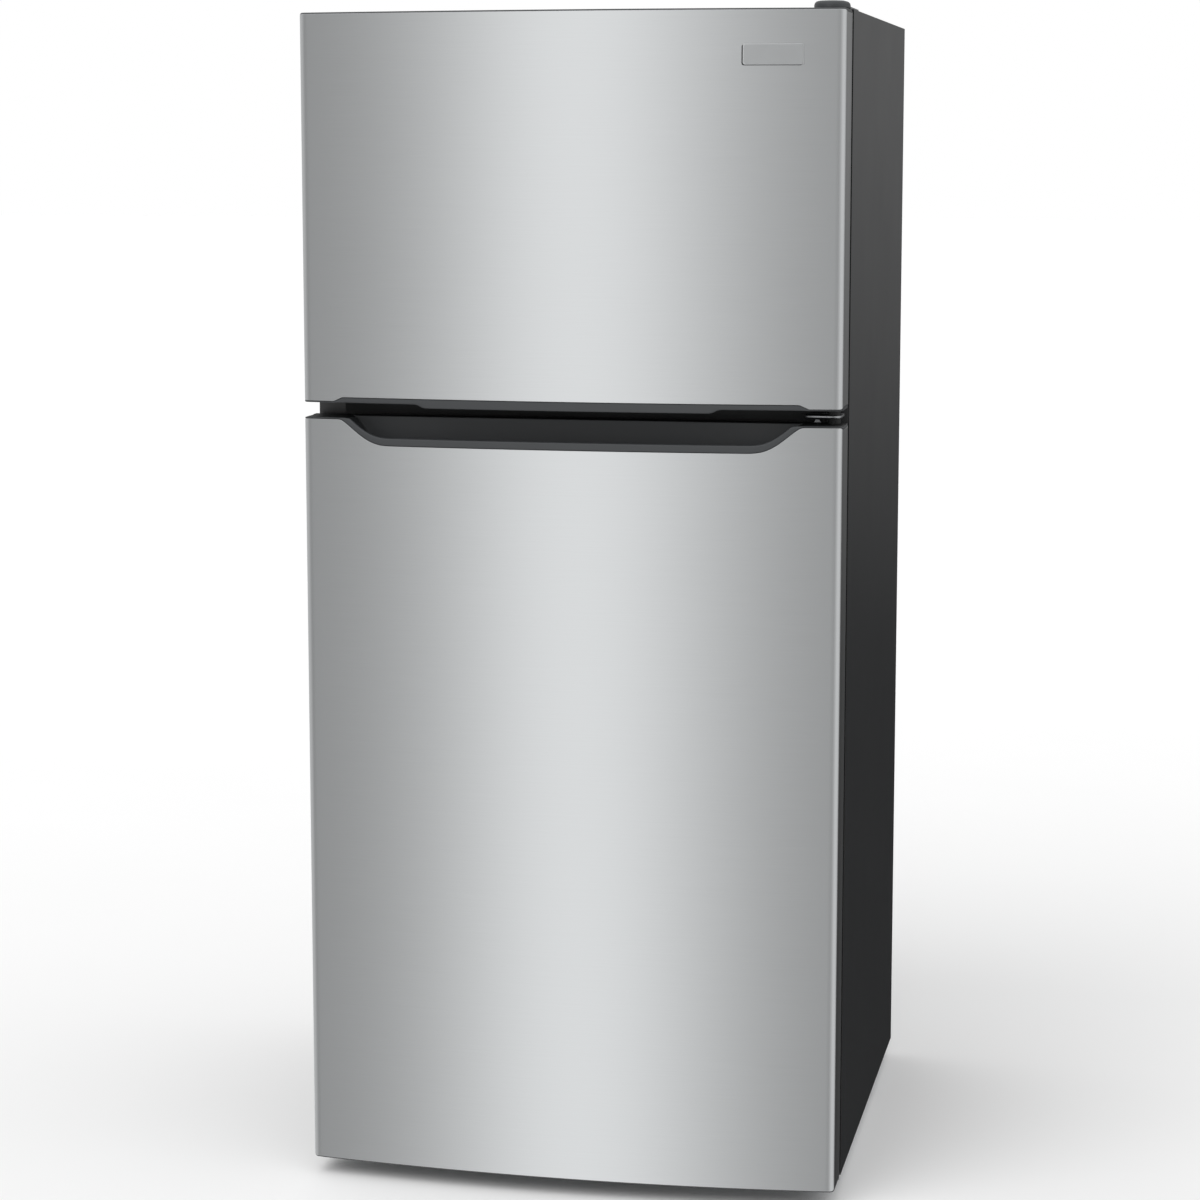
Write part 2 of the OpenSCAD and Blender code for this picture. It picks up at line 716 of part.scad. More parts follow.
// Shelf frame with a rebate for its glass.
module glass_frame(y0, y1, z, t) {
    difference() {
        slab([-shelf_half, y0, z], [shelf_half, y1, z + t]);
        slab([18 - shelf_half, y0 + 22, z - 1], [shelf_half - 18, y1 - 18, z + t + 1]);
        slab([12 - shelf_half, y0 + 16, z + t - glass_t], [shelf_half - 12, y1 - 12, z + t + 1]);
    }
}
module pane(y0, y1, z, t) {
    slab([12 - shelf_half, y0 + 16, z + t - glass_t], [shelf_half - 12, y1 - 12, z + t]);
}
module shelf_frames() color("whitesmoke")
    for (z = shelf_levels) glass_frame(shelf_front, shelf_back, z, shelf_t);
module shelf_glass() color("#a9d0cc") {
    for (z = shelf_levels) pane(shelf_front, shelf_back, z, shelf_t);
    pane(cover_front, cover_back, cover_z, cover_t);
}
module crisper_cover_frame() color("whitesmoke") difference() {
    union() {
        glass_frame(cover_front, cover_back, cover_z, cover_t);
        slab([-4, crisper_front, fridge_floor], [4, crisper_back, cover_z]);
        slab([-9, cover_front + 8, cover_z], [9, cover_back - 8, cover_z + cover_t - glass_t]);
    }
    both_sides() slab([slider_x - 20, cover_front - 1, cover_z + 4],
                      [slider_x + 66, cover_front + 4, cover_z + 10]);
}
module humidity_slider() {
    slab([slider_x, cover_front + 0.3, cover_z + 4.3], [slider_x + 16, cover_front + 3.7, cover_z + 9.7]);
    slab([slider_x + 2, cover_front - 6, cover_z + 4.3], [slider_x + 14, cover_front + 0.3, cover_z + 9.7]);
}
module humidity_slider_left() color("#7f8a90") translate([-2 * slider_x - 16, 0, 0]) humidity_slider();
module humidity_slider_right() color("#7f8a90") humidity_slider();
module crisper() {
    open_box([crisper_in, crisper_front, crisper_low], [crisper_out, crisper_back, crisper_high], bin_wall);
    slab([crisper_in, crisper_front - 12, crisper_high - 18],
         [crisper_out, crisper_front, crisper_high - 8]);
}
module crisper_left() color("#cfd6d8") mirror([1, 0, 0]) crisper();
module crisper_right() color("#cfd6d8") crisper();

module control_housing() color("whitesmoke") {
    difference() {
        slab([-housing_half, housing_front, housing_z], [housing_half, housing_back, fridge_ceiling]);
        slab([3 - housing_half, housing_front + 3, housing_z + 3],
             [housing_half - 3, housing_back - 3, fridge_ceiling + 1]);
        slab([-60, -20, housing_z - 1], [60, 44, housing_z + 4]);
    }
    for (x = [-knob_x, knob_x]) rod([x, housing_front - 14, knob_z], [x, housing_front, knob_z], 3);
    difference() {
        slab([switch_x - 13, -280, switch_z - 12], [switch_x + 13, -240, fridge_ceiling]);
        rod([switch_x, -281, switch_z], [switch_x, -244, switch_z], switch_r + pin_fit);
    }
}
module lamp_lens() color("#f4f1e4") {
    slab([-60, -20, housing_z - 3], [60, 44, housing_z + 2]);
}
module knob() {
    difference() {
        rod([0, housing_front - 17, knob_z], [0, housing_front - 1, knob_z], 17);
        rod([0, housing_front - 14.5, knob_z], [0, housing_front, knob_z], 3 + pin_fit);
    }
    slab([-3, housing_front - 23, knob_z - 15], [3, housing_front - 16.5, knob_z + 15]);
}
module freezer_knob() color("#50555a") translate([-knob_x, 0, 0]) knob();
module fridge_knob() color("#50555a") translate([knob_x, 0, 0]) knob();
module light_switch() color("#e8e8e6")
    rod([switch_x, plateau_y + 0.5, switch_z], [switch_x, -248, switch_z], switch_r);

// ---------- feet and hinges ----------

module leveling_leg() {
    cylinder(h = 6, r = 16);
    translate([0, 0, 6]) cylinder(h = 7, r = 11, $fn = 6);
    translate([0, 0, 13]) cylinder(h = leg_top - 13, r = leg_r);
}
module leveling_leg_left() color("#3a3c3e") translate([-leg_x, leg_y, 0]) leveling_leg();
module leveling_leg_right() color("#3a3c3e") translate([leg_x, leg_y, 0]) leveling_leg();
module roller() {
    difference() {
        rod([-roller_w / 2, 0, roller_r], [roller_w / 2, 0, roller_r], roller_r);
        rod([-roller_w, 0, roller_r], [roller_w, 0, roller_r], axle_r + pin_fit);
        for (a = [0:60:300]) translate([0, 11 * sin(a), roller_r + 11 * cos(a)])
            rod([-roller_w, 0, 0], [-roller_w / 2 + 4, 0, 0], 3);
    }
}
module rear_roller_left() color("#2c2e30") translate([-roller_x, roller_y, 0]) roller();
module rear_roller_right() color("#2c2e30") translate([roller_x, roller_y, 0]) mirror([1, 0, 0]) roller();

module hinge_tongue(z, back, inner) {
    at_hinge(z, z + plate_h, 12);
    slab([inner, hinge_y, z], [half_w - 4, back, z + plate_h]);
}
module top_hinge() color("#6d6f70") difference() {
    union() {
        hinge_tongue(cab_top, -200, 335);
        at_hinge(freezer_top - 18, cab_top + 1, pin_r);
    }
    top_screw_spots() translate([0, 0, cab_top - 1]) cylinder(h = plate_h + 2, r = screw_r);
}
module top_hinge_cover() color("#303234") difference() {
    slab([331, hinge_y - 22, cab_top], [half_w - 1.5, front_y - 2, height]);
    slab([333, hinge_y - 20, cab_top - 1], [half_w - 3.5, front_y, height - 2]);
}
module center_screw_spots() { for (z = [-11, 13]) translate([337, 0, center_z + z]) children(); }
module bottom_screw_spots() { for (x = [352, 371]) translate([x, 0, ground_gap + 4]) children(); }
module shank_hole() { rod([0, front_y - plate_h - 1, 0], [0, front_y + 1, 0], screw_r); }
module center_hinge() color("#6d6f70") difference() {
    union() {
        hinge_tongue(center_z, front_y, 345);
        slab([330, front_y - plate_h, center_z - 19], [half_w - 2, front_y, center_z + 21]);
        at_hinge(center_z - 28, center_z + 32, pin_r);
        at_hinge(center_z - 8.6, center_z + 11.6, boss_r);
    }
    center_screw_spots() shank_hole();
}
module bottom_hinge() color("#6d6f70") difference() {
    union() {
        hinge_tongue(bottom_z, front_y, 340);
        slab([340, front_y - plate_h, bottom_z], [half_w - 2, front_y, bottom_z + 17]);
        at_hinge(bottom_z, bottom_z + 27, pin_r);
        at_hinge(bottom_z, bottom_z + 6.6, boss_r);
    }
    bottom_screw_spots() shank_hole();
}
// Hexagon screw, head outwards along -Y, seated on the hinge's leg.
module leg_screw() {
    rotate([90, 0, 0]) translate([0, 0, plate_h - front_y]) cylinder(h = 4, r = 5.5, $fn = 6);
    rod([0, front_y - plate_h, 0], [0, front_y, 0], screw_r);
}
module hinge_screws() color("#b8babc") {
    top_screw_spots() {
        translate([0, 0, cab_top + plate_h]) cylinder(h = 4, r = 5.5, $fn = 6);
        translate([0, 0, in_top - 8]) cylinder(h = plate_h + steel_t + 8, r = screw_r);
    }
    center_screw_spots() leg_screw();
    bottom_screw_spots() leg_screw();
}

cabinet_shell();
back_panel();
base_frame();
center_rail();
insulation();
freezer_liner();
fridge_liner();
foot_brackets();
compressor();
condenser_coil();
condenser_fan_motor();
refrigerant_tubes();
defrost_drain();
compressor_cover();
evaporator_cover();
evaporator_coil();
evaporator_fan_motor();
defrost_heater();
freezer_shelf();
control_housing();
lamp_lens();
shelf_glass();
shelf_frames();
crisper_cover_frame();
top_hinge();
top_hinge_cover();
center_hinge();
bottom_hinge();
hinge_screws();
condenser_fan();
evaporator_fan();
freezer_knob();
fridge_knob();
light_switch();
crisper_left();
crisper_right();
humidity_slider_left();
humidity_slider_right();
leveling_leg_left();
leveling_leg_right();
rear_roller_left();
rear_roller_right();
freezer_door_skin();
freezer_door_foam();
freezer_door_liner();
freezer_door_gasket();
freezer_door_top_cap();
freezer_handle_trim();
freezer_door_bins();
nameplate();
fridge_door_skin();
fridge_door_foam();
fridge_door_liner();
fridge_door_gasket();
fridge_door_bottom_cap();
fridge_handle_trim();
dairy_bin();
dairy_cover();
fridge_door_bins();
gallon_bin();
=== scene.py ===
# %% [markdown]
# # Top freezer refrigerator
# A steel cabinet with a freezer above and a fresh food compartment below, and two doors that hang on
# pins at the right. The frame that is loaded here fixes every size and every hinge. This lesson gives
# each sheet, moulding, seal and pane its real surface. All sizes are in millimetres and are turned
# into metres when a mesh is made.

# %% Load the frame
import json
import math

import bmesh
import bpy
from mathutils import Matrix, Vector

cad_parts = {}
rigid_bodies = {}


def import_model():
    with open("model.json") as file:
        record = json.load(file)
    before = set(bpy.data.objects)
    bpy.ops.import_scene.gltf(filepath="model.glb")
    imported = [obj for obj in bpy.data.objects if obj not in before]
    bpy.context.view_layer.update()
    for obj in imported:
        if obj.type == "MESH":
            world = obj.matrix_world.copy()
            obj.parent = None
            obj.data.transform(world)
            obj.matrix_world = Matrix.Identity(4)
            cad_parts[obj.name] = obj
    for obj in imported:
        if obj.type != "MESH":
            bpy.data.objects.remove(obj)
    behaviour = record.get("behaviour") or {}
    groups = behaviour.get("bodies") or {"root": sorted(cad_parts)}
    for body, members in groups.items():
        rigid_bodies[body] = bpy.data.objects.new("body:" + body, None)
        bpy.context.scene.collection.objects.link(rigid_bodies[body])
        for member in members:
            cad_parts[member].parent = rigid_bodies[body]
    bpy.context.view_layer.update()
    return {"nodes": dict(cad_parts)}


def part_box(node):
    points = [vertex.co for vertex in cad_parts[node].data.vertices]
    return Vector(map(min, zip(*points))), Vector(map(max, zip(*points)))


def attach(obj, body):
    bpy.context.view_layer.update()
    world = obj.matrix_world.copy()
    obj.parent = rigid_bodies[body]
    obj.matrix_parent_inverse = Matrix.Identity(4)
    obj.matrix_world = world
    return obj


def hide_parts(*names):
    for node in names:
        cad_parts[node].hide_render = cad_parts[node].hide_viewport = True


for spare in list(bpy.data.objects):
    bpy.data.objects.remove(spare)
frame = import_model()
MM = 0.001
print("nodes in the frame:", len(frame["nodes"]))

# %% [markdown]
# ## Reading sizes from the frame
# A piece goes where its CAD node is. Reading each node's box keeps the pieces in step with the frame,
# and only small things such as radii and beads are numbers here.


# %% Box of a node in millimetres
def span(node):
    """Lowest and highest corner of a CAD node, in millimetres."""
    lo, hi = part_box(node)
    return lo / MM, hi / MM


cap_lo, cap_hi = span("freezer_door_top_cap")
HALF = cap_hi.x
FRONT = cap_lo.y
DOOR_BACK = cap_hi.y
FREEZER_LOW = span("freezer_handle_trim")[0].z + 5
FRIDGE_TOP = span("fridge_handle_trim")[1].z
PLATEAU = span("freezer_door_bins")[0].y - 0.3
print("half width", HALF, "door planes", FRONT, DOOR_BACK, "gap", FRIDGE_TOP, FREEZER_LOW)

# %% [markdown]
# ## Helpers for shapes
# Nearly every moulding here is a stack of loops: rectangles with round corners that grow, shrink and
# move. One function draws such a loop and another skins a stack of them with quads. That gives clean
# faces with real fillets, which a boolean would not.


# %% Loops and lofts
def rounded(x0, x1, z0, z1, radius, steps=5):
    """Points of a rectangle with round corners, anticlockwise from the lower right."""
    centres = ((x1 - radius, z0 + radius), (x1 - radius, z1 - radius),
               (x0 + radius, z1 - radius), (x0 + radius, z0 + radius))
    points = []
    for quarter, (cx, cz) in enumerate(centres):
        for k in range(steps + 1):
            turn = math.radians(90 * (quarter - 1 + k / steps))
            points.append((cx + radius * math.cos(turn), cz + radius * math.sin(turn)))
    return points


def loft(loops, first=True, last=True, ring=True):
    """Skins equal loops with quads and closes the first and last one if asked.

    Without ring, each loop is an open line, as a sheet's section is."""
    n = len(loops[0])
    verts = [point for loop in loops for point in loop]
    faces = [(k * n + j, k * n + (j + 1) % n, (k + 1) * n + (j + 1) % n, (k + 1) * n + j)
             for k in range(len(loops) - 1) for j in range(n if ring else n - 1)]
    if first:
        faces.append(tuple(range(n - 1, -1, -1)))
    if last:
        faces.append(tuple(range((len(loops) - 1) * n, len(loops) * n)))
    return verts, faces


# %% Circles and stacks of rectangles
def circle(radius, sides):
    """Points of a circle round the origin, anticlockwise."""
    return [(radius * math.cos(2 * math.pi * k / sides), radius * math.sin(2 * math.pi * k / sides))
            for k in range(sides)]


def facing(x0, x1, z0, z1, radius, rows, shrink=0, steps=5):
    """Round rectangles that face the front, from (inset, depth) rows; with shrink, radii follow."""
    return [[(x, y, z) for x, z in rounded(x0 + e, x1 - e, z0 + e, z1 - e, radius - shrink * e, steps)]
            for e, y in rows]


def lying(x0, x1, y0, y1, radius, rows):
    """Round rectangles that lie level, from (inset, height) rows; radii shrink to 2 mm at least."""
    return [[(x, y, z) for x, y in rounded(x0 + e, x1 - e, y0 + e, y1 - e, max(radius - e, 2.0))]
            for e, z in rows]


# %% Join and mirror
def joined(*shapes):
    """Puts several lofts into one mesh."""
    verts, faces = [], []
    for more_verts, more_faces in shapes:
        base = len(verts)
        verts += more_verts
        faces += [tuple(base + k for k in face) for face in more_faces]
    return verts, faces


def mirrored(shape):
    """The same loft on the other side of the middle plane."""
    verts, faces = shape
    return [(-x, y, z) for x, y, z in verts], [tuple(reversed(face)) for face in faces]


# %% Soft steps
def ease(t):
    """Runs smoothly from 0 to 1."""
    t = min(max(t, 0.0), 1.0)
    return t * t * (3 - 2 * t)


def climb(t):
    """Leaves the bottom slowly and meets the top more sharply, as the edge of the scoop does."""
    return ease(min(max(t, 0.0), 1.0) ** 1.5)


print("half way", ease(0.5), "for an even step and", round(climb(0.5), 2), "for the scoop")

# %% [markdown]
# A piece is a mesh with one material that rides on a body of the frame and stands for a node. Sheet
# metal and thin mouldings are drawn as one surface, and Solidify gives them their thickness, just as
# the real ones have one thickness all over.


# %% New objects and rounded edges
def in_scene(name, data):
    """Makes an object and puts it in the scene."""
    made = bpy.data.objects.new(name, data)
    bpy.context.scene.collection.objects.link(made)
    return made


def round_edges(made, radius, angle):
    """Rounds edges sharper than an angle; the flat faces beside them keep their own shading."""
    rounding = made.modifiers.new("edge rounding", "BEVEL")
    rounding.width = radius * MM
    rounding.segments = 2
    rounding.limit_method = "ANGLE"
    rounding.angle_limit = math.radians(angle)
    rounding.harden_normals = True


# %% Make a piece
def piece(name, shape, body, finish, stands_for=(), thick=0.0, edge=0.0, sharp=40,
          towards=None):
    """Makes a named piece in millimetres: thick grows it inwards, edge rounds its rims, and an open
    sheet faces towards a direction."""
    verts, faces = shape
    mesh = bpy.data.meshes.new(name)
    mesh.from_pydata([Vector(v) * MM for v in verts], [], faces)
    cleaner = bmesh.new()
    cleaner.from_mesh(mesh)
    bmesh.ops.remove_doubles(cleaner, verts=cleaner.verts, dist=0.01 * MM)
    bmesh.ops.dissolve_degenerate(cleaner, dist=0.005 * MM, edges=cleaner.edges)
    bmesh.ops.recalc_face_normals(cleaner, faces=cleaner.faces)
    cleaner.to_mesh(mesh)
    cleaner.free()
    mesh.shade_smooth()
    mesh.set_sharp_from_angle(angle=math.radians(sharp))
    mesh.materials.append(finish)
    made = in_scene(name, mesh)
    if towards:
        total = sum((face.normal * face.area for face in mesh.polygons), Vector())
        if total.dot(Vector(towards)) < 0:
            mesh.flip_normals()
    if thick:
        wall = made.modifiers.new("sheet thickness", "SOLIDIFY")
        wall.thickness = thick * MM
        wall.offset = -1
    if edge:
        round_edges(made, edge, 55)
    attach(made, body)
    if stands_for:
        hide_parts(*stands_for)
    print(f"{name}: {len(mesh.polygons)} faces on {body}")
    return made

# %% [markdown]
# ## Helpers for materials
# A surface is a Principled shader with a few nodes in front of it. Colours are given as the codes one
# reads off a screen and turned to linear values once.


# %% Colours
def linear(code):
    """Turns an sRGB hex code into linear red, green, blue and alpha."""
    parts = [int(code[k:k + 2], 16) / 255 for k in (1, 3, 5)]
    return [c / 12.92 if c <= 0.04045 else ((c + 0.055) / 1.055) ** 2.4 for c in parts] + [1.0]


print("middle grey is", round(linear("#808080")[0], 3), "in linear light")


# %% Nodes and materials
def plug(tree, node, **inputs):
    """Sets each input of a node to a value or links it to another node's output."""
    for name, value in inputs.items():
        socket = node.inputs[name.replace("_", " ")]
        if isinstance(value, bpy.types.NodeSocket):
            tree.links.new(value, socket)
        else:
            socket.default_value = value


def add(tree, kind, settings=None, **inputs):
    """Adds a node with its settings and inputs."""
    made = tree.nodes.new("ShaderNode" + kind)
    for name, value in (settings or {}).items():
        setattr(made, name, value)
    plug(tree, made, **inputs)
    return made


def material(name, colour, **surface):
    """A material whose shader has this colour and these plain values."""
    made = bpy.data.materials.new(name)
    made.use_nodes = True
    tree = made.node_tree
    shader = tree.nodes["Principled BSDF"]
    plug(tree, shader, Base_Color=linear(colour), **surface)
    return made, tree, shader


# %% [markdown]
# ### Moulded and coated surfaces
# Moulded plastic takes the spark-eroded texture of its tool, and enamel takes the orange peel of its
# spraying. Both are a fine relief with a size in millimetres, and both vary a little in gloss and in
# shade over a hand's width, from handling and from the flow of the material. The real grain of a tool
# is near 0.1 mm and can't be seen from a few steps away, so it is drawn about 1 mm wide and very low.


# %% A moulded or coated material
def coated(name, colour, colours, grit, relief, gloss, patch=70.0, **surface):
    """A material with a relief of a grit size and depth in mm; gloss and shade drift between two ends."""
    made, tree, shader = material(name, colour, **surface)
    place = add(tree, "TexCoord").outputs["Object"]
    grain = add(tree, "TexNoise", Vector=place, Scale=1 / (grit * MM), Detail=2.0, Roughness=0.6)
    bump = add(tree, "Bump", Height=grain.outputs["Fac"], Distance=relief * MM, Strength=1.0)
    cloud = add(tree, "TexNoise", Vector=place, Scale=1 / (patch * MM), Detail=3.0, Roughness=0.5)
    shade = add(tree, "MixRGB", Fac=cloud.outputs["Fac"], Color1=linear(colours[0]),
                Color2=linear(colours[1]))
    rough = add(tree, "MapRange", Value=cloud.outputs["Fac"], To_Min=gloss[0], To_Max=gloss[1])
    plug(tree, shader, Normal=bump.outputs["Normal"], Base_Color=shade.outputs["Color"],
         Roughness=rough.outputs["Result"])
    return made


# %% [markdown]
# ### Brushed stainless steel
# The doors are ferritic stainless steel, belt-brushed along their width with a grit of about 180. The
# scratches are 0.1 mm wide and tens of millimetres long, and they smear a reflection up and down while
# it stays fairly clear from side to side. The anisotropy does that smear. The scratches themselves are
# too fine to show, so they are drawn 0.7 mm wide, faintly, in shade, in roughness and in relief.

# %% Brushed stainless steel
# The eye gets a soft vertical band of light that stays the same from top to bottom.
SCRATCH_LONG, SCRATCH_WIDE = 90.0, 0.7
steel, tree, shader = material("brushed_stainless_steel", "#c6c8c9", Metallic=1.0, Roughness=0.30,
                               Anisotropic=0.55, Anisotropic_Rotation=0.25)
place = add(tree, "TexCoord").outputs["Object"]
lay = add(tree, "Mapping", Vector=place,
          Scale=(1 / (SCRATCH_LONG * MM), 1 / (SCRATCH_LONG * MM), 1 / (SCRATCH_WIDE * MM)))
scratch = add(tree, "TexNoise", Vector=lay.outputs["Vector"], Scale=1.0, Detail=3.0, Roughness=0.65)
tint = add(tree, "MixRGB", Fac=scratch.outputs["Fac"], Color1=linear("#c2c4c5"),
           Color2=linear("#cacccd"))
rough = add(tree, "MapRange", Value=scratch.outputs["Fac"], To_Min=0.27, To_Max=0.33)
relief = add(tree, "Bump", Height=scratch.outputs["Fac"], Distance=0.002 * MM, Strength=1.0)
around = add(tree, "Tangent", {"direction_type": "RADIAL", "axis": "Z"})
plug(tree, shader, Base_Color=tint.outputs["Color"], Roughness=rough.outputs["Result"],
     Normal=relief.outputs["Normal"], Tangent=around.outputs["Tangent"])
print("made", steel.name)

# %% [markdown]
# ### Charcoal enamel and dark mouldings
# The cabinet is steel sheet with a baked polyester powder enamel in charcoal: dull, with a fine pebble.
# Its front flange, which the gaskets close on, is painted darker than the sides as painted shade for the gap
# between the doors.
# The handle strips, end caps and hinge cover are ABS moulded in the same dark grey, a little smoother.

# %% Charcoal enamel
# The eye gets a dark, dull side that still shows a faint sheen where it is seen at a low angle.
enamel = coated("charcoal_powder_enamel", "#2c2d2f", ("#2a2b2d", "#2e2f31"), grit=1.6, relief=0.02,
                gloss=(0.27, 0.33), patch=160)
# Share of the enamel's colour left on the front flange: painted shade for the dark gap between the doors.
FLANGE_PAINTED_SHADE = 0.3
tree = enamel.node_tree
shader = tree.nodes["Principled BSDF"]
unshaded_enamel_colour = shader.inputs["Base Color"].links[0].from_socket
face_y = span("cabinet_shell")[0].y
depth = add(tree, "SeparateXYZ", Vector=add(tree, "TexCoord").outputs["Object"]).outputs["Y"]
flange = add(tree, "MapRange", Value=depth, From_Min=(face_y + 0.4) * MM, From_Max=(face_y + 1.0) * MM,
             To_Min=FLANGE_PAINTED_SHADE, To_Max=1.0)
coat = add(tree, "MixRGB", {"blend_type": "MULTIPLY"}, Fac=1.0, Color1=unshaded_enamel_colour,
           Color2=flange.outputs["Result"])
plug(tree, shader, Base_Color=coat.outputs["Color"])
print("made", enamel.name)

# %% Dark ABS and gasket vinyl
# Dark grey for the bands that the eye follows across both doors.
dark_abs = coated("dark_grey_abs", "#36383a", ("#343638", "#393b3d"), grit=0.9, relief=0.015,
                  gloss=(0.36, 0.44))
# Painted shading inside the finger pocket: a duller, slightly lighter copy of the dark grey, so that it reads
# as a hollow.
pocket_shading_abs = coated("pocket_shading_grey_abs", "#3d3f41", ("#3a3c3e", "#404244"), grit=0.9, relief=0.02,
                  gloss=(0.44, 0.54), Specular_IOR_Level=0.4)
# Black as painted shade for the gap between the doors, so that the rail, the hinge leg and the tops of the
# handle strips there look empty and dark.
gap_shade_black = coated("gap_shade_black", "#1b1c1d", ("#191a1b", "#1e1f20"), grit=0.9, relief=0.02,
                   gloss=(0.50, 0.60), Specular_IOR_Level=0.3)
# Soft black without highlights, as the line between door and cabinet.
vinyl = coated("gasket_vinyl", "#141517", ("#121315", "#17181a"), grit=1.2, relief=0.01,
               gloss=(0.52, 0.62), patch=30, Specular_IOR_Level=0.3)
print("made", dark_abs.name, pocket_shading_abs.name, gap_shade_black.name, vinyl.name)

# %% [markdown]
# ### White plastics
# Liners are high impact polystyrene sheet, drawn over a mould, so they are smooth with a soft sheen and
# slightly thicker in colour where the sheet stayed thick. Shelf frames and the control housing are
# injection moulded ABS. The lamp lens is opal acrylic.

# %% Liner, white ABS and opal acrylic
# A clean white with a wide soft shine, and shadows that stay light in the corners.
liner_white = coated("drawn_white_polystyrene", "#eff1f1", ("#edefef", "#f2f4f4"), grit=2.2, relief=0.01,
                     gloss=(0.26, 0.34), patch=120, Subsurface_Weight=0.05,
                     Subsurface_Radius=(0.004, 0.004, 0.004))
# A slightly greyer white that sets the frames off from the walls.
white_abs = coated("white_abs", "#e4e6e5", ("#e1e3e2", "#e7e9e8"), grit=0.8, relief=0.012,
                   gloss=(0.30, 0.38))
# Warm and milky, as if light could come through.
opal = coated("opal_acrylic", "#f6f2e4", ("#f3efe0", "#f8f5ea"), grit=1.0, relief=0.01,
              gloss=(0.18, 0.24), Subsurface_Weight=0.3, Subsurface_Radius=(0.006, 0.005, 0.004))
print("made", liner_white.name, white_abs.name, opal.name)

# %% [markdown]
# ### Clear plastics and glass
# Door bins and drawers are clear styrene: light passes, edges look denser, and the faces carry faint
# flow lines. The dairy cover is the same plastic with a frosted face. Shelves are 4 mm tempered glass,
# slightly green from its iron.

# %% Clear styrene, frosted styrene and shelf glass
# Light bends less here than in real styrene, whose 1.59 would turn the double walls of a bin grey.
SOFT_BEND = 1.35
# Clear, with bright rims where the walls are seen edge on.
clear = coated("clear_styrene", "#fcfdfd", ("#fafcfc", "#fefefe"), grit=9.0, relief=0.004,
               gloss=(0.03, 0.07), patch=90, Transmission_Weight=0.92, IOR=SOFT_BEND)
# Misty, so that what lies in a drawer is only guessed at.
drawer_clear = coated("misty_styrene", "#f9fbfb", ("#f6f9f9", "#fcfdfd"), grit=6.0, relief=0.004,
                      gloss=(0.12, 0.18), patch=90, Transmission_Weight=0.80, IOR=SOFT_BEND)
# Pale and matt, with a glow where light falls through it.
frosted = coated("frosted_styrene", "#e9eff0", ("#e4ebec", "#eff4f4"), grit=0.9, relief=0.02,
                 gloss=(0.42, 0.52), Transmission_Weight=0.35, IOR=1.49)
# Clear with a trace of green, and a sharp mirror at a low angle.
glass = coated("tempered_glass", "#dff0ea", ("#d9ede6", "#e4f3ee"), grit=40.0, relief=0.02,
               gloss=(0.02, 0.05), patch=200, Transmission_Weight=0.92, IOR=1.52)
print("made", clear.name, drawer_clear.name, frosted.name, glass.name)

# %% [markdown]
# ### Metals
# The rear panel, the base and the foot brackets are zinc coated sheet, whose crystals show as dull
# patches a few millimetres across. Hinges are thick steel with satin nickel plate, screws are bright
# zinc and the nameplate is plated. The compressor and condenser are black enamel, and the fins are bare
# aluminium.


# %% Zinc coated sheet, with its crystals
CRYSTAL = 9.0


def galvanised(name, dull, bright, gloss):
    """Zinc coated steel: flat crystals, each with its own shade and gloss."""
    made, tree, shader = material(name, bright, Metallic=1.0)
    place = add(tree, "TexCoord").outputs["Object"]
    crystal = add(tree, "TexVoronoi", Vector=place, Scale=1 / (CRYSTAL * MM))
    cell = add(tree, "SeparateColor", Color=crystal.outputs["Color"])
    shade = add(tree, "MixRGB", Fac=cell.outputs["Red"], Color1=linear(dull), Color2=linear(bright))
    rough = add(tree, "MapRange", Value=cell.outputs["Green"], To_Min=gloss[0], To_Max=gloss[1])
    plug(tree, shader, Base_Color=shade.outputs["Color"], Roughness=rough.outputs["Result"])
    return made


# Each gives a cool grey that sparkles a little from patch to patch: coarse sheet, bright screws, fins.
zinc_sheet = galvanised("galvanised_sheet", "#aaadb0", "#b8bbbd", (0.38, 0.48))
zinc_screw = galvanised("zinc_plated_screws", "#a4a6a8", "#b4b6b8", (0.28, 0.36))
fins = galvanised("bare_aluminium_fins", "#b4b6b8", "#c6c8ca", (0.32, 0.42))
print("made", zinc_sheet.name, zinc_screw.name, fins.name)

# %% Hinge plate, plated badge, copper and coated wire
# A satin grey metal that catches the light inside the dark gap.
hinge_steel = coated("nickel_plated_hinge_steel", "#a2a4a6", ("#9b9d9f", "#a9abad"), grit=1.4,
                     relief=0.02, gloss=(0.34, 0.44), patch=25, Metallic=1.0)
# Brighter and finer than the door, and stretched in the same direction.
badge_metal = coated("satin_plated_badge", "#bec0c1", ("#bbbdbe", "#c1c3c4"), grit=0.7, relief=0.001,
                     gloss=(0.28, 0.34), patch=30, Metallic=1.0, Anisotropic=0.45,
                     Anisotropic_Rotation=0.25)
tree = badge_metal.node_tree
around = add(tree, "Tangent", {"direction_type": "RADIAL", "axis": "Z"})
plug(tree, tree.nodes["Principled BSDF"], Tangent=around.outputs["Tangent"])
# Warm metal with darker, tarnished stretches.
copper = coated("drawn_copper_tube", "#b8693f", ("#a4572f", "#c27a50"), grit=3.0, relief=0.01,
                gloss=(0.28, 0.42), patch=14, Metallic=1.0)
# Black with a clear shine, as stove enamel has.
black_enamel = coated("black_enamel", "#191a1b", ("#161718", "#1e1f20"), grit=2.0, relief=0.02,
                      gloss=(0.24, 0.34), patch=40)
# Bright white with a small highlight along each wire.
white_wire = coated("white_coated_wire", "#eceded", ("#e8eaea", "#f0f1f1"), grit=1.5, relief=0.02,
                    gloss=(0.22, 0.30), patch=40)
print("made", hinge_steel.name, badge_metal.name, copper.name, black_enamel.name, white_wire.name)

# %% [markdown]
# ### Foam, board and small plastics
# These fill the walls and the machine compartment. Foam is yellowish and open, the rear board is
# pressed paper, and motors, fans, knobs and feet are nylon, acetal and ABS.

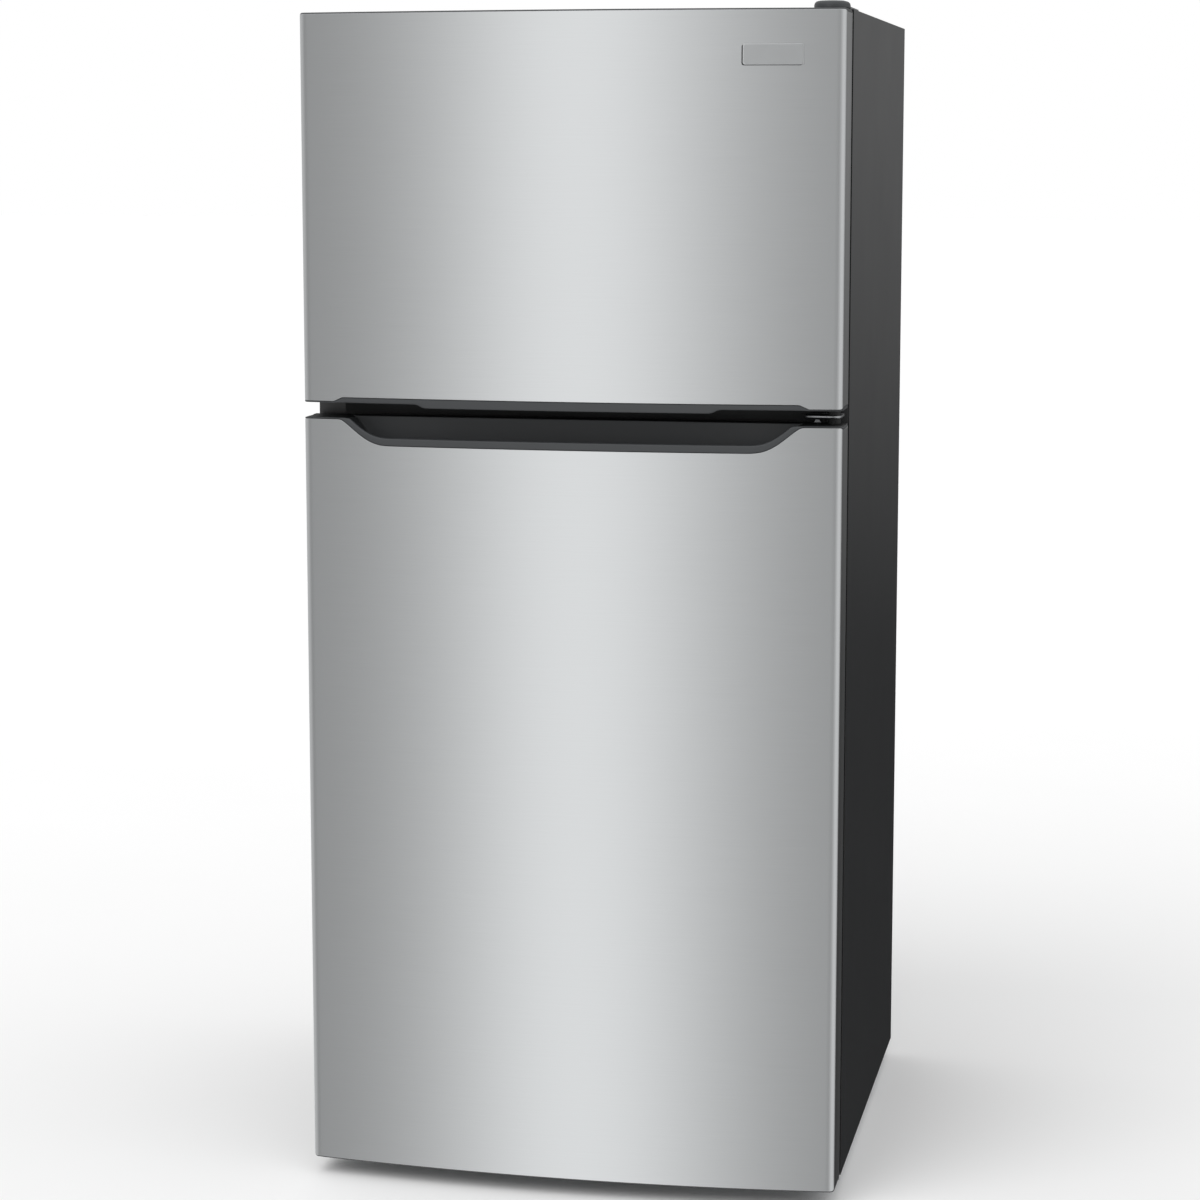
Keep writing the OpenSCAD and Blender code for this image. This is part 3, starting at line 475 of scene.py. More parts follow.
# %% Foam, board, motor plastic, fan plastic, knob plastic and nylon
# Yellow and quite dull, with pores that can be seen.
foam = coated("urethane_foam", "#d9cc96", ("#cdbf85", "#e2d7a6"), grit=3.0, relief=0.6,
              gloss=(0.85, 0.95), patch=40, Specular_IOR_Level=0.2)
# Flat grey with a fibrous mottle.
board = coated("pressed_fibre_board", "#54575a", ("#4c4f52", "#5c5f62"), grit=1.8, relief=0.08,
               gloss=(0.68, 0.8), patch=25, Specular_IOR_Level=0.25)
# Dark grey with a rough skin.
motor_black = coated("glass_filled_nylon", "#303234", ("#2b2d2f", "#36383a"), grit=0.8, relief=0.03,
                     gloss=(0.5, 0.6), patch=20)
# Off white and waxy.
fan_white = coated("acetal_fan", "#dedfdc", ("#d9dad7", "#e3e4e1"), grit=1.0, relief=0.01,
                   gloss=(0.30, 0.38))
# Middle grey, so that the knobs stand out from the white housing.
knob_grey = coated("grey_abs_knobs", "#7d8387", ("#797f83", "#82888c"), grit=0.7, relief=0.015,
                   gloss=(0.32, 0.42), patch=20)
# Nearly black and matt, where the feet meet the floor.
feet_nylon = coated("black_nylon_feet", "#2c2d2f", ("#27282a", "#323335"), grit=1.2, relief=0.03,
                    gloss=(0.5, 0.62), patch=15)
print("made", foam.name, board.name, motor_black.name, fan_white.name, knob_grey.name, feet_nylon.name)

# %% [markdown]
# ## The plan of a door
# Both doors have the same plan: a crowned front that bulges 24 mm in the middle, a 9 mm corner at each
# side, flat sides, and a hem folded round the back. One function gives the front face at any distance
# from the middle, so the skins, the handle strips and the badge all lie on the same curve.

# %% Front face of a door
CROWN = 24.0
CORNER = 9.0
CROWN_R = (HALF ** 2 + CROWN ** 2) / (2 * CROWN)
CORNER_X = HALF - CORNER
CORNER_TURN = math.asin(CORNER_X / (CROWN_R - CORNER))
CORNER_Y = FRONT + CROWN_R - (CROWN_R - CORNER) * math.cos(CORNER_TURN)


def front_at(x, inset=0.0):
    """Depth of the door's front at x, or of a face set in from it."""
    reach = abs(x)
    if reach <= CORNER_X + (CORNER - inset) * math.sin(CORNER_TURN):
        return FRONT + CROWN_R - math.sqrt((CROWN_R - inset) ** 2 - reach ** 2)
    return CORNER_Y - math.sqrt(max((CORNER - inset) ** 2 - (reach - CORNER_X) ** 2, 0.0))


def half_front(count, inset=0.0):
    """Right half of the front and its corner, set in from the outline, without the middle point."""
    half = [(x, front_at(x, inset)) for x in (CORNER_X * k / count for k in range(1, count + 1))]
    for k in range(1, 7):
        turn = CORNER_TURN + (math.pi / 2 - CORNER_TURN) * k / 6
        half.append((CORNER_X + (CORNER - inset) * math.sin(turn),
                     CORNER_Y - (CORNER - inset) * math.cos(turn)))
    return half


def both_halves(right, inset=0.0):
    """Whole plan from its right half."""
    return [(-x, y) for x, y in reversed(right)] + [(0.0, front_at(0.0, inset))] + right


def plan_points(pitch, hem=19.0, fold=1.6):
    """Plan of a skin from hem to hem round the front, with points a pitch apart along the front."""
    right = half_front(round(CORNER_X / pitch))
    for k in range(4):
        turn = math.pi / 2 * k / 3
        right.append((HALF - fold + fold * math.cos(turn), DOOR_BACK - fold + fold * math.sin(turn)))
    right.append((HALF - hem, DOOR_BACK))
    return both_halves(right)


print("crown radius", round(CROWN_R), "mm")

# %% [markdown]
# ## Edges of the two doors along the handle gap
# The lower door's top edge dips into a scoop 500 mm long, and the upper door's bottom edge has a
# shallow cut over most of its width. A dark moulding fills both. Its visible band is 11 mm high in the
# scoop and thins to about 2 mm at the corners. The skins and the mouldings read the same functions.

# %% Edge lines
SCOOP_FLAT, SCOOP_MOUTH, SCOOP_DEPTH, LIP = 248.0, 334.0, 38.0, 11.0
POCKET_FLAT, POCKET_MOUTH, POCKET_DEPTH = 233.0, 324.0, 80.0
CUT_HALF, CUT_RUN, CUT_HIGH = 322.0, 18.0, 8.0
THIN_BAND = 2.2


def scoop_edge(x):
    """Top edge of the lower door's steel."""
    rise = climb((abs(x) - SCOOP_FLAT) / (SCOOP_MOUTH - SCOOP_FLAT))
    return min(FRIDGE_TOP - SCOOP_DEPTH * (1 - rise), FRIDGE_TOP - THIN_BAND)


def pocket_floor(x):
    """Floor of the finger pocket behind the lip."""
    rise = climb((abs(x) - POCKET_FLAT) / (POCKET_MOUTH - POCKET_FLAT))
    return FRIDGE_TOP - POCKET_DEPTH * (1 - rise)


def cut_edge(x):
    """Bottom edge of the upper door's steel."""
    rise = min(max((CUT_HALF + CUT_RUN - abs(x)) / CUT_RUN, 0.0), 1.0)
    return FREEZER_LOW + max(CUT_HIGH * rise, THIN_BAND)


print("scoop bottom", scoop_edge(0), "cut top", cut_edge(0))

# %% [markdown]
# ## Door skins
# Each skin is one steel sheet, pressed to the crown and folded round both sides. It could be cut from
# a block with booleans, but a sheet is easier to draw as what it is: the plan swept from its lower to
# its upper edge. Only the edge lines differ between the doors. Solidify gives the sheet 1.2 mm.

# %% Door skins
SHEET = 1.2
NIP = 3.0


def nip(x):
    """How far the edge of the sheet draws back at the corners of a door."""
    near = max(abs(x) - (HALF - NIP), 0.0)
    return NIP - math.sqrt(max(NIP ** 2 - near ** 2, 0.0))


def door_skin(name, low, high):
    """Steel wrap of a door between two edge lines."""
    plan = plan_points(pitch=4.0)
    ends = [(low(x) + nip(x), high(x) - nip(x)) for x, y in plan]
    rows = [[(x, y, z0 + (z1 - z0) * t) for (x, y), (z0, z1) in zip(plan, ends)]
            for t in (0, 0.02, 0.25, 0.5, 0.75, 0.98, 1)]
    piece(name, loft(rows, False, False, ring=False), name.replace("_skin", ""),
          steel, [name], thick=SHEET, edge=0.5, sharp=50, towards=(0, -1, 0))


freezer_skin_top = span("freezer_door_skin")[1].z
fridge_skin_low = span("fridge_door_skin")[0].z
door_skin("freezer_door_skin", cut_edge, lambda x: freezer_skin_top)
door_skin("fridge_door_skin", lambda x: fridge_skin_low, scoop_edge)

# %% [markdown]
# The free end of each door is closed by a moulded cap that sits just inside the steel. Only its
# rounded rim shows, as a thin dark line above the upper door and below the lower one.


# %% End caps
def plan_loop(inset):
    """Closed plan of a door, set in from its outline."""
    right = half_front(40, inset)
    right += [(HALF - inset, DOOR_BACK - SHEET - 1), (HALF - inset - 1, DOOR_BACK - SHEET)]
    return both_halves(right, inset)


def end_cap(door, node, end, way):
    """Cap at the end of a door; way is 1 for a top and -1 for a bottom."""
    rows = ((2.0, -14), (0.3, -13), (0.3, -2.4), (0.8, -1.1), (1.7, -0.3), (3.2, 0), (6.0, 0))
    loops = [[(x, y, end + way * z) for x, y in plan_loop(e)] for e, z in rows]
    piece(node, loft(loops, first=False), door, dark_abs, [node], sharp=50,
          towards=(0, 0, way))


end_cap("freezer_door", "freezer_door_top_cap", cap_hi.z, 1)
end_cap("fridge_door", "fridge_door_bottom_cap", span("fridge_door_bottom_cap")[0].z, -1)

# %% [markdown]
# ## Handle mouldings
# Neither door has a bar handle. Fingers go down into a pocket behind the lip of the lower door, or up
# into a hollow behind the lip of the upper one. Each moulding is a strip as wide as the door, so its
# section is drawn at many places across the door and the sections are skinned. Corners get fillets
# that shrink to nothing where the pocket runs out, and doubled points are merged afterwards.


# %% Sections with fillets
def fillet_path(corners, steps=4):
    """Rounds each corner of an open path; a corner is (y, z, radius)."""
    path = [corners[0][:2]]
    for before, corner, after in zip(corners, corners[1:], corners[2:]):
        here = Vector(corner[:2])
        back = Vector(before[:2]) - here
        ahead = Vector(after[:2]) - here
        cut = min(corner[2], back.length * 0.49, ahead.length * 0.49)
        start = here + (back.normalized() * cut if back.length > 1e-6 else back)
        end = here + (ahead.normalized() * cut if ahead.length > 1e-6 else ahead)
        for k in range(steps + 1):
            t = k / steps
            point = start * (1 - t) ** 2 + here * (2 * t * (1 - t)) + end * t ** 2
            path.append(tuple(point))
    path.append(corners[-1][:2])
    return path


def across_door(pitch, ends):
    """Places across a door, a pitch apart, with closer ones at the corners."""
    count = round(CORNER_X / pitch)
    inner = [CORNER_X * k / count for k in range(-count, count + 1)]
    return [-x for x in reversed(ends)] + inner + list(ends)


CORNER_PLACES = [HALF - 6.0, HALF - 4.0, HALF - 2.4, HALF - 1.2, HALF - 0.5]
SEAL_FACE = DOOR_BACK - SHEET
print("places across a door", len(across_door(5.0, CORNER_PLACES)))

# %% Lower door: lip, finger pocket and top plate
LIP_THICK = 6.0
POCKET_BACK = DOOR_BACK - 18.0
PROUD = 0.4
GROOVE = 0.9


def fridge_section(x):
    """Section of the lower door's moulding at x, from the steel over the lip to the gasket side."""
    face = front_at(x) + PROUD
    low = scoop_edge(x) - nip(x)
    high = min(scoop_edge(x) + LIP, FRIDGE_TOP) - 0.8 * nip(x)
    inner = front_at(x, LIP_THICK) if abs(x) < POCKET_MOUTH else face + 3
    floor = min(pocket_floor(x), high)
    deep = high - floor
    corners = [(face + 2, low - 4, 0), (face + 2, low + GROOVE, 0.2), (face, low + GROOVE, 0.4),
               (face, high, 3.6), (inner, high, min(1.8, deep / 2)), (inner, floor, min(9.0, deep / 2)),
               (POCKET_BACK, floor, min(9.0, deep / 2)), (POCKET_BACK, FRIDGE_TOP, min(2.5, deep / 2)),
               (SEAL_FACE - 0.3, FRIDGE_TOP, 0.8), (SEAL_FACE - 0.3, FRIDGE_TOP - 8, 0)]
    return [(x, y, z) for y, z in fillet_path(corners)]


places = across_door(4.0, CORNER_PLACES)


def shade_inside(made, depth, level):
    """Behind a depth from the front the moulding gets painted shading: the pocket's grey, and black painted
    shade near a level.
    """
    mesh = made.data
    mesh.materials.append(pocket_shading_abs)
    mesh.materials.append(gap_shade_black)
    for face in mesh.polygons:
        x, y, z = face.center / MM
        if y > front_at(x) + depth:
            face.material_index = 2 if abs(z - level) < 1.5 else 1


strip = piece("fridge_handle_trim",
              loft([fridge_section(x) for x in places], ring=False), "fridge_door",
              dark_abs, ["fridge_handle_trim"], sharp=60, towards=(0, -1, 1))
shade_inside(strip, LIP_THICK - 1.5, FRIDGE_TOP)

# %% Upper door: curved-under band, lip and finger hollow
LIP_HALF, LIP_RUN, LIP_DROP = 200.0, 15.0, 5.0
HOLLOW_HALF, HOLLOW_RUN, HOLLOW_HIGH = 190.0, 8.0, 18.0
HOLLOW_BACK = FRONT + CROWN + 22.0


def freezer_section(x):
    """Section of the upper door's moulding at x, from the steel under the lip to the gasket side."""
    face = front_at(x) + PROUD
    high = cut_edge(x) + nip(x)
    lip = 1 - ease((abs(x) - LIP_HALF) / LIP_RUN)
    open_up = 1 - ease((abs(x) - HOLLOW_HALF) / HOLLOW_RUN)
    low = FREEZER_LOW - LIP_DROP * lip + 0.8 * nip(x)
    roof = FREEZER_LOW + HOLLOW_HIGH * open_up
    under = 1.8 * lip + 6.0 * (1 - lip)
    inner = front_at(x, LIP_THICK) if abs(x) < CORNER_X - 4 else face + 5
    corners = [(face + 2, high + 4, 0), (face + 2, high - GROOVE, 0.2), (face, high - GROOVE, 0.4),
               (face, low, min(under, (high - low) * 0.8)), (inner, low, 0.8 * lip),
               (inner + 0.6, roof, 5.0 * open_up), (HOLLOW_BACK, roof, 5.0 * open_up),
               (HOLLOW_BACK + 0.5, FREEZER_LOW, 1.5 * open_up),
               (SEAL_FACE - 0.3, FREEZER_LOW, 0.8), (SEAL_FACE - 0.3, FREEZER_LOW + 8, 0)]
    return [(x, y, z) for y, z in fillet_path(corners)]


strip = piece("freezer_handle_trim",
              loft([freezer_section(x) for x in places], ring=False), "freezer_door",
              dark_abs, ["freezer_handle_trim"], sharp=60, towards=(0, -1, -1))
shade_inside(strip, LIP_THICK + 1.0, FREEZER_LOW)

# %% [markdown]
# ## Foam cores of the doors
# Urethane foam is blown into the closed door and bonds skin, moulding and liner. Its section follows
# the hollow of the handle, so it is swept across the door like the moulding, and the raised field and
# ribs behind it are added as blocks.

# %% Raised field and ribs of a door's back
FIELD_HALF = 336.0
FIELD_IN = 36.0
RIB_IN, RIB_OUT = 292.0, 318.0


def field_loops(z0, z1, sink):
    """Loops of a door's raised field, set in by sink."""
    rows = ((-5, SEAL_FACE), (-1.5, SEAL_FACE + 1.2), (0, SEAL_FACE + 4), (1.5, PLATEAU - 1.2),
            (5, PLATEAU))
    return facing(-FIELD_HALF + sink, FIELD_HALF - sink, z0 + sink, z1 - sink, 26,
                  [(e, y - sink) for e, y in rows], shrink=1)


def rib_loops(z0, z1, top, sink):
    """Loops of the right side rib of a door's back, set in by sink."""
    rows = ((-4, PLATEAU), (-1.2, PLATEAU + 1.0), (0, PLATEAU + 4), (0.4, top - 8), (2.6, top - 2.2),
            (8, top))
    return [[(x, y - sink, z) for x, z in rounded(RIB_IN + e * 0.6 + sink, RIB_OUT - e - sink,
                                                  z0 + e + sink, z1 - e - sink, 8)]
            for e, y in rows]


ribs = {"freezer_door": (1180.0, 1600.0), "fridge_door": (312.0, 1040.0)}
print("side ribs", ribs)

# %% Foam cores
LINER_WALL = 1.5
CAP_WALL = 2.5
STRIP_WALL = 3


def foam_core(door, low, high, hollow):
    """Foam of a door; hollow(x) gives the lowest and highest point in front of the handle's back."""
    back = SEAL_FACE - LINER_WALL
    step = (POCKET_BACK if door == "fridge_door" else HOLLOW_BACK) + STRIP_WALL
    sections = []
    for x in across_door(12.0, [HALF - 3.0]):
        face = front_at(x, SHEET + 0.2) + 0.2
        z0, z1 = hollow(x)
        outline = [(face, z0), (face, z1), (step, z1), (step, high), (back, high), (back, low),
                   (step, low), (step, z0)]
        sections.append([(x, y, z) for y, z in outline])
    field = span(door + "_liner")
    z0, z1 = field_range[door]
    top = field[1].y
    rib = loft(rib_loops(*ribs[door], top, LINER_WALL + 0.3))
    piece(door + "_foam", joined(loft(sections), loft(field_loops(z0, z1, LINER_WALL + 0.3)),
                                 rib, mirrored(rib)),
          door, foam, [door + "_foam"], sharp=30)


freezer_top = cap_hi.z
fridge_low = span("fridge_door_bottom_cap")[0].z
field_range = {"freezer_door": (FREEZER_LOW + FIELD_IN, freezer_top - FIELD_IN),
               "fridge_door": (fridge_low + FIELD_IN, FRIDGE_TOP - FIELD_IN)}
freezer_foam_high = freezer_top - CAP_WALL
fridge_foam_low = fridge_low + CAP_WALL
foam_core("freezer_door", FREEZER_LOW + STRIP_WALL, freezer_foam_high,
          lambda x: (FREEZER_LOW + (23 if abs(x) < LIP_HALF + LIP_RUN else 10), freezer_foam_high))
foam_core("fridge_door", fridge_foam_low, FRIDGE_TOP - STRIP_WALL,
          lambda x: (fridge_foam_low, min(pocket_floor(x) - CAP_WALL, FRIDGE_TOP - SCOOP_DEPTH - 6)))

# %% [markdown]
# ## Door liners
# The back of a door is a sheet of white polystyrene drawn over a mould: a flat border under the
# gasket, a raised field, and a tall rib at each side that the bins hang between. Drawn sheet has soft
# corners everywhere, so every step is a row of loops that turns gently.


# %% Door liners
def door_liner(door):
    """Drawn liner of a door: border, raised field and two side ribs."""
    lo, hi = span(door + "_liner")
    z0, z1 = field_range[door]
    border = facing(lo.x, hi.x, lo.z, hi.z, 26, [(0, SEAL_FACE)])
    rib = loft(rib_loops(*ribs[door], hi.y, 0.0), first=False)
    shape = joined(loft(border + field_loops(z0, z1, 0.0), first=False), rib, mirrored(rib))
    piece(door + "_liner", shape, door, liner_white, [door + "_liner"], sharp=70,
          towards=(0, 1, 0))


door_liner("freezer_door")
door_liner("fridge_door")

# %% [markdown]
# ## Gaskets
# A gasket is an extruded vinyl hose with a magnet strip in its head and a bellows behind it. Four
# lengths are welded at the corners, so the section is swept round a rectangle with sharp corners.


# %% Gaskets
def gasket(door):
    """Bellows seal round the back of a door."""
    lo, hi = span(door + "_gasket")
    y0, y1 = lo.y, hi.y
    section = [(0.5, y0), (4.5, y0 + 0.2), (4.8, y0 + 2.5), (1.2, y0 + 4.5), (1.0, y0 + 6.0),
               (4.2, y0 + 8.0), (1.2, y1 - 4.6), (0.2, y1 - 3.6), (0.2, y1 - 0.8), (1.0, y1),
               (12.6, y1), (13.4, y1 - 0.8), (13.4, y1 - 3.6), (11.8, y1 - 4.8), (9.4, y0 + 8.0),
               (12.6, y0 + 6.0), (12.4, y0 + 4.5), (9.0, y0 + 2.5), (9.4, y0 + 0.2), (13.5, y0)]
    loops = facing(lo.x, hi.x, lo.z, hi.z, 0.6, section, steps=1)
    piece(door + "_gasket", loft(loops + loops[:1], False, False), door, vinyl,
          [door + "_gasket"], sharp=50)


gasket("freezer_door")
gasket("fridge_door")

# %% [markdown]
# ## Bins and drawers
# All of them are injection moulded trays: thin walls with a little draft so that they leave the
# mould, a thicker rim, and round corners inside and out. One profile of insets and heights makes them
# all.


# %% A moulded tray
def tray(lo, hi, radius, wall=2.6, rim=8.0):
    """Open tray between two corners: outside up, over the rim, and down inside."""
    z0, z1 = lo.z, hi.z
    rows = ((9, z0), (4, z0 + 0.9), (2.0, z0 + 4), (1.4, z1 - rim - 1), (0.2, z1 - rim), (0, z1 - 1.4),
            (0.5, z1 - 0.4), (1.3, z1), (wall + 0.6, z1), (wall + 1.4, z1 - 0.8),
            (wall + 2.0, z0 + 9), (wall + 3.6, z0 + wall + 2), (wall + 8, z0 + wall))
    return loft(lying(lo.x, hi.x, lo.y, hi.y, radius, rows))


# %% Separate solids of a node
def solid_parts(node):
    """Boxes of the separate solids of a node, lowest first, in millimetres."""
    mesh = bmesh.new()
    mesh.from_mesh(frame["nodes"][node].data)
    bmesh.ops.remove_doubles(mesh, verts=mesh.verts, dist=0.001 * MM)
    left = set(mesh.verts)
    boxes = []
    while left:
        grown = {left.pop()}
        edge = set(grown)
        while edge:
            edge = {e.other_vert(v) for v in edge for e in v.link_edges} - grown
            grown |= edge
        left -= grown
        corners = [v.co / MM for v in grown]
        boxes.append((Vector([min(c[k] for c in corners) for k in range(3)]),
                      Vector([max(c[k] for c in corners) for k in range(3)])))
    mesh.free()
    return sorted(boxes, key=lambda pair: (round(pair[0].z), pair[0].x))


# %% Grip bead of a bin
def grip_bead(lo, hi, z):
    """Raised bead along the inner face of a bin, where a hand takes it."""
    rows = ((0.0, 3.4), (0.9, 2.6), (1.2, 0.0), (0.9, -2.6), (0.0, -3.4))
    face = hi.y - 1.6
    return loft([[(lo.x + 30, face + up, z + dz) for up, dz in rows],
                 [(hi.x - 30, face + up, z + dz) for up, dz in rows]])


# %% Door bins
BIN_CORNER = 16.0
BEAD_FROM_TOP, BEAD_FROM_FLOOR = 24, 20
for door, node in (("freezer_door", "freezer_door_bins"), ("fridge_door", "fridge_door_bins"),
                   ("fridge_door", "gallon_bin")):
    shapes = []
    for lo, hi in solid_parts(node):
        shapes += [tray(lo, hi, BIN_CORNER), grip_bead(lo, hi, hi.z - BEAD_FROM_TOP),
                   grip_bead(lo, hi, lo.z + BEAD_FROM_FLOOR)]
    piece(node, joined(*shapes), door, clear, [node], sharp=50)

# %% [markdown]
# The crisper drawers are deeper trays in a misty grade of the same plastic, with a lip along the top
# of the front for the fingers and a shallow frame pressed into the front panel.


# %% Crisper drawers
def crisper(side):
    """Crisper drawer with its finger lip and its front frame."""
    lo, hi = span("crisper_" + side)
    front = lo.y + 12
    body = tray(Vector((lo.x, front, lo.z)), hi, 12.0, wall=3.0, rim=10.0)
    lip = facing(lo.x + 6, hi.x - 6, hi.z - 18, hi.z - 8, 1.4,
                 ((0, front + 1.2), (0, front - 8), (1.4, lo.y + 0.8), (3.4, lo.y)))
    border = facing(lo.x + 26, hi.x - 26, lo.z + 34, hi.z - 48, 16,
                    ((0, front + 2.0), (0.3, front - 0.2), (1.8, front - 1.2), (5.2, front - 1.2),
                     (6.7, front - 0.2), (7.0, front + 2.0)), shrink=1)
    piece("crisper_" + side, joined(body, loft(lip), loft(border, False, False)),
          "crisper_" + side, drawer_clear, ["crisper_" + side], sharp=50)


crisper("left")
crisper("right")

# %% [markdown]
# ## Dairy cover
# The flap over the dairy bin is a strip of frosted plastic. It hangs from a barrel along its top and
# ends in a curled lip that a finger can lift. Its section is the same along its whole length.


# %% Dairy cover
def dairy_cover():
    """Frosted flap: barrel, bowed plate and finger lip, swept along its length."""
    lo, hi = span("dairy_cover")
    pin_y = (lo.y + hi.y) / 2
    pin_z = hi.z - 3
    middle = [(pin_y + 2.6 * math.sin(math.pi * k / 12), pin_z - 2 - (pin_z - 2 - lo.z - 3) * k / 12)
              for k in range(13)]
    middle += [(pin_y + 1.6, lo.z + 1.2), (pin_y + 4.6, lo.z + 0.2), (pin_y + 7.0, lo.z + 1.4)]
    outer = [(y + 1.2, z + (1.0 if k > 12 else 0)) for k, (y, z) in enumerate(middle)]
    inner = [(y - 1.2, z - (0.2 if k > 12 else 0)) for k, (y, z) in enumerate(middle)]
    outline = outer + inner[::-1]
    barrel = [(pin_y + y, pin_z + z) for y, z in circle(3.2, 18)]
    pin = [(pin_y + y, pin_z + z) for y, z in circle(2, 12)]
    ends = (lo.x + 3.8, hi.x - 3.8)
    shapes = [loft([[(x, y, z) for y, z in ring] for x in ends]) for ring in (outline, barrel)]
    shapes.append(loft([[(x, y, z) for y, z in pin] for x in (lo.x, hi.x)]))
    piece("dairy_cover", joined(*shapes), "dairy_flap", frosted,
          ["dairy_cover"], edge=0.4, sharp=50)


dairy_cover()

# %% [markdown]
# ## Cabinet liners
# Each compartment is one drawn sheet: a flange behind the steel front, a round entry, and walls that
# meet in soft corners. Loops run from the front to the back wall. In the lower compartment the floor
# climbs over the machine compartment, so the bottom of each loop rises there, and ledges for the
# shelves stand on the side walls.

# %% Shelf ledges
FLANGE_HALF = 360.0
WALL = 2.0


def ledge(x0, x1, y0, y1, z0, z1):
    """Round-nosed ledge on a side wall."""
    rows = ((3, y0), (0.8, y0 + 1.2), (0, y0 + 5), (0, y1 - 5), (0.8, y1 - 1.2), (3, y1))
    return loft(facing(x0, x1 + 3, z0, z1, 1.6, rows))


# %% A drawn compartment
def compartment(node, half, low, high, back, floor_rows, ledges):
    """Drawn liner: floor_rows gives (y, floor height) from the front to the back wall."""
    lo, hi = span(node)
    rings = [(FLANGE_HALF, lo.z, hi.z, lo.y, 8)]
    for grow, y in ((7, lo.y), (4.5, lo.y + 0.5), (1.8, lo.y + 2.4), (0.4, lo.y + 5), (0, lo.y + 8)):
        rings.append((half + grow, low - grow, high + grow, y, 18 + grow))
    rings += [(half, floor, high, y, 18) for y, floor in floor_rows]
    last = floor_rows[-1][1]
    for e, y in ((0, back - 16), (1.3, back - 10), (4.8, back - 4.8), (10, back - 1.3), (16, back)):
        rings.append((half - e, last + e, high - e, y, 18))
    loops = [[(x, y, z) for x, z in rounded(-w, w, z0, z1, r)] for w, z0, z1, y, r in rings]
    shapes = [loft(loops, first=False)]
    for z0, z1, y0, y1 in ledges:
        right = ledge(half - 10, half, y0, y1, z0, z1)
        shapes += [right, mirrored(right)]
    piece(node, joined(*shapes), "cabinet", liner_white, [node], sharp=65,
          towards=(0, -1, 0))


# %% Freezer and fresh food liners
RIM = 14
freezer_half = span("freezer_shelf")[1].x + 2
freezer_low = span("freezer_liner")[0].z + RIM
freezer_high = span("evaporator_cover")[1].z + 1
shelf_z = span("freezer_shelf")[0].z
cold_wall = span("evaporator_cover")[0].y
compartment("freezer_liner", freezer_half, freezer_low, freezer_high,
            span("freezer_liner")[1].y - WALL, ((-200, freezer_low), (0, freezer_low)),
            [(shelf_z - 10, shelf_z, -190, cold_wall - 8)])

fridge_half = span("shelf_frames")[1].x + 3
fridge_low_wall = span("crisper_right")[0].z - 2
fridge_high = span("fridge_liner")[1].z - RIM
hump = span("crisper_right")[1].y + 7
hump_top = span("crisper_right")[1].z + 9
levels = sorted({round(lo.z) for lo, hi in solid_parts("shelf_frames")})
rows = [(-200, fridge_low_wall), (hump - 14, fridge_low_wall), (hump - 5, fridge_low_wall + 2.5),
        (hump - 1, fridge_low_wall + 9), (hump, fridge_low_wall + 18), (hump + 0.5, hump_top - 48),
        (hump + 3, hump_top - 37), (hump + 10, hump_top - 27), (hump + 26, hump_top - 10),
        (hump + 36, hump_top - 2.5), (hump + 46, hump_top)]
compartment("fridge_liner", fridge_half, fridge_low_wall, fridge_high,
            span("fridge_liner")[1].y - WALL, rows,
            [(z - 10, z, -200, 300) for z in levels] + [(286, 296, -150, 90)])

# %% [markdown]
# ## Freezer shelf
# The shelf is welded from drawn wire and dipped in white coating: two thick wires carry twenty-five
# thin ones, which bend down over the front wire. A wire is a circle swept along its path.


# %% A wire
def wire(path, radius, sides=10):
    """Round wire along a path; the path's own points make its bends round."""
    loops = []
    points = [Vector(p) for p in path]
    for k, here in enumerate(points):
        before = points[max(k - 1, 0)]
        after = points[min(k + 1, len(points) - 1)]
        along = (after - before).normalized()
        side = along.cross(Vector((0, 0, 1)))
        side = side.normalized() if side.length > 1e-3 else Vector((1, 0, 0))
        up = side.cross(along)
        loops.append([tuple(here + side * a + up * b) for a, b in circle(radius, sides)])
    return loft(loops)


# %% Wire shelf
shelf_lo, shelf_hi = span("freezer_shelf")
THICK_WIRE, THIN_WIRE = 3.0, 2.0
PITCH = 26
MIDDLE_WIRE = 198
carry_z = shelf_lo.z + THICK_WIRE
front_y, back_y = shelf_lo.y + THICK_WIRE, shelf_hi.y - THICK_WIRE
shapes = [wire([(shelf_lo.x, y, carry_z), (shelf_hi.x, y, carry_z)], THICK_WIRE)
          for y in (front_y, front_y + MIDDLE_WIRE, back_y)]
for k in range(-12, 13):
    nose = [(k * PITCH, front_y - 4.6 * math.sin(math.radians(a)),
             carry_z - 1.6 + 4.6 * math.cos(math.radians(a))) for a in (0, 30, 60, 90)]
    ends = (k * PITCH, back_y, carry_z + 3), (k * PITCH, front_y - 4.6, carry_z - 9)
    shapes.append(wire([ends[0]] + nose + [ends[1]], THIN_WIRE))
piece("freezer_shelf", joined(*shapes), "cabinet", white_wire, ["freezer_shelf"])

# %% [markdown]
# ## Nameplate
# The badge is a small plated plate with a raised face and a soft edge, bonded to the crown. It is
# blank here. Its loops are laid along the curve of the door. The adhesive pad behind it is drawn dark
# and set off to the left and down, so that its edge is a painted shadow of the plate on the steel.


# %% Nameplate
SHADOW_LEFT, SHADOW_DOWN = 1.5, 0.9


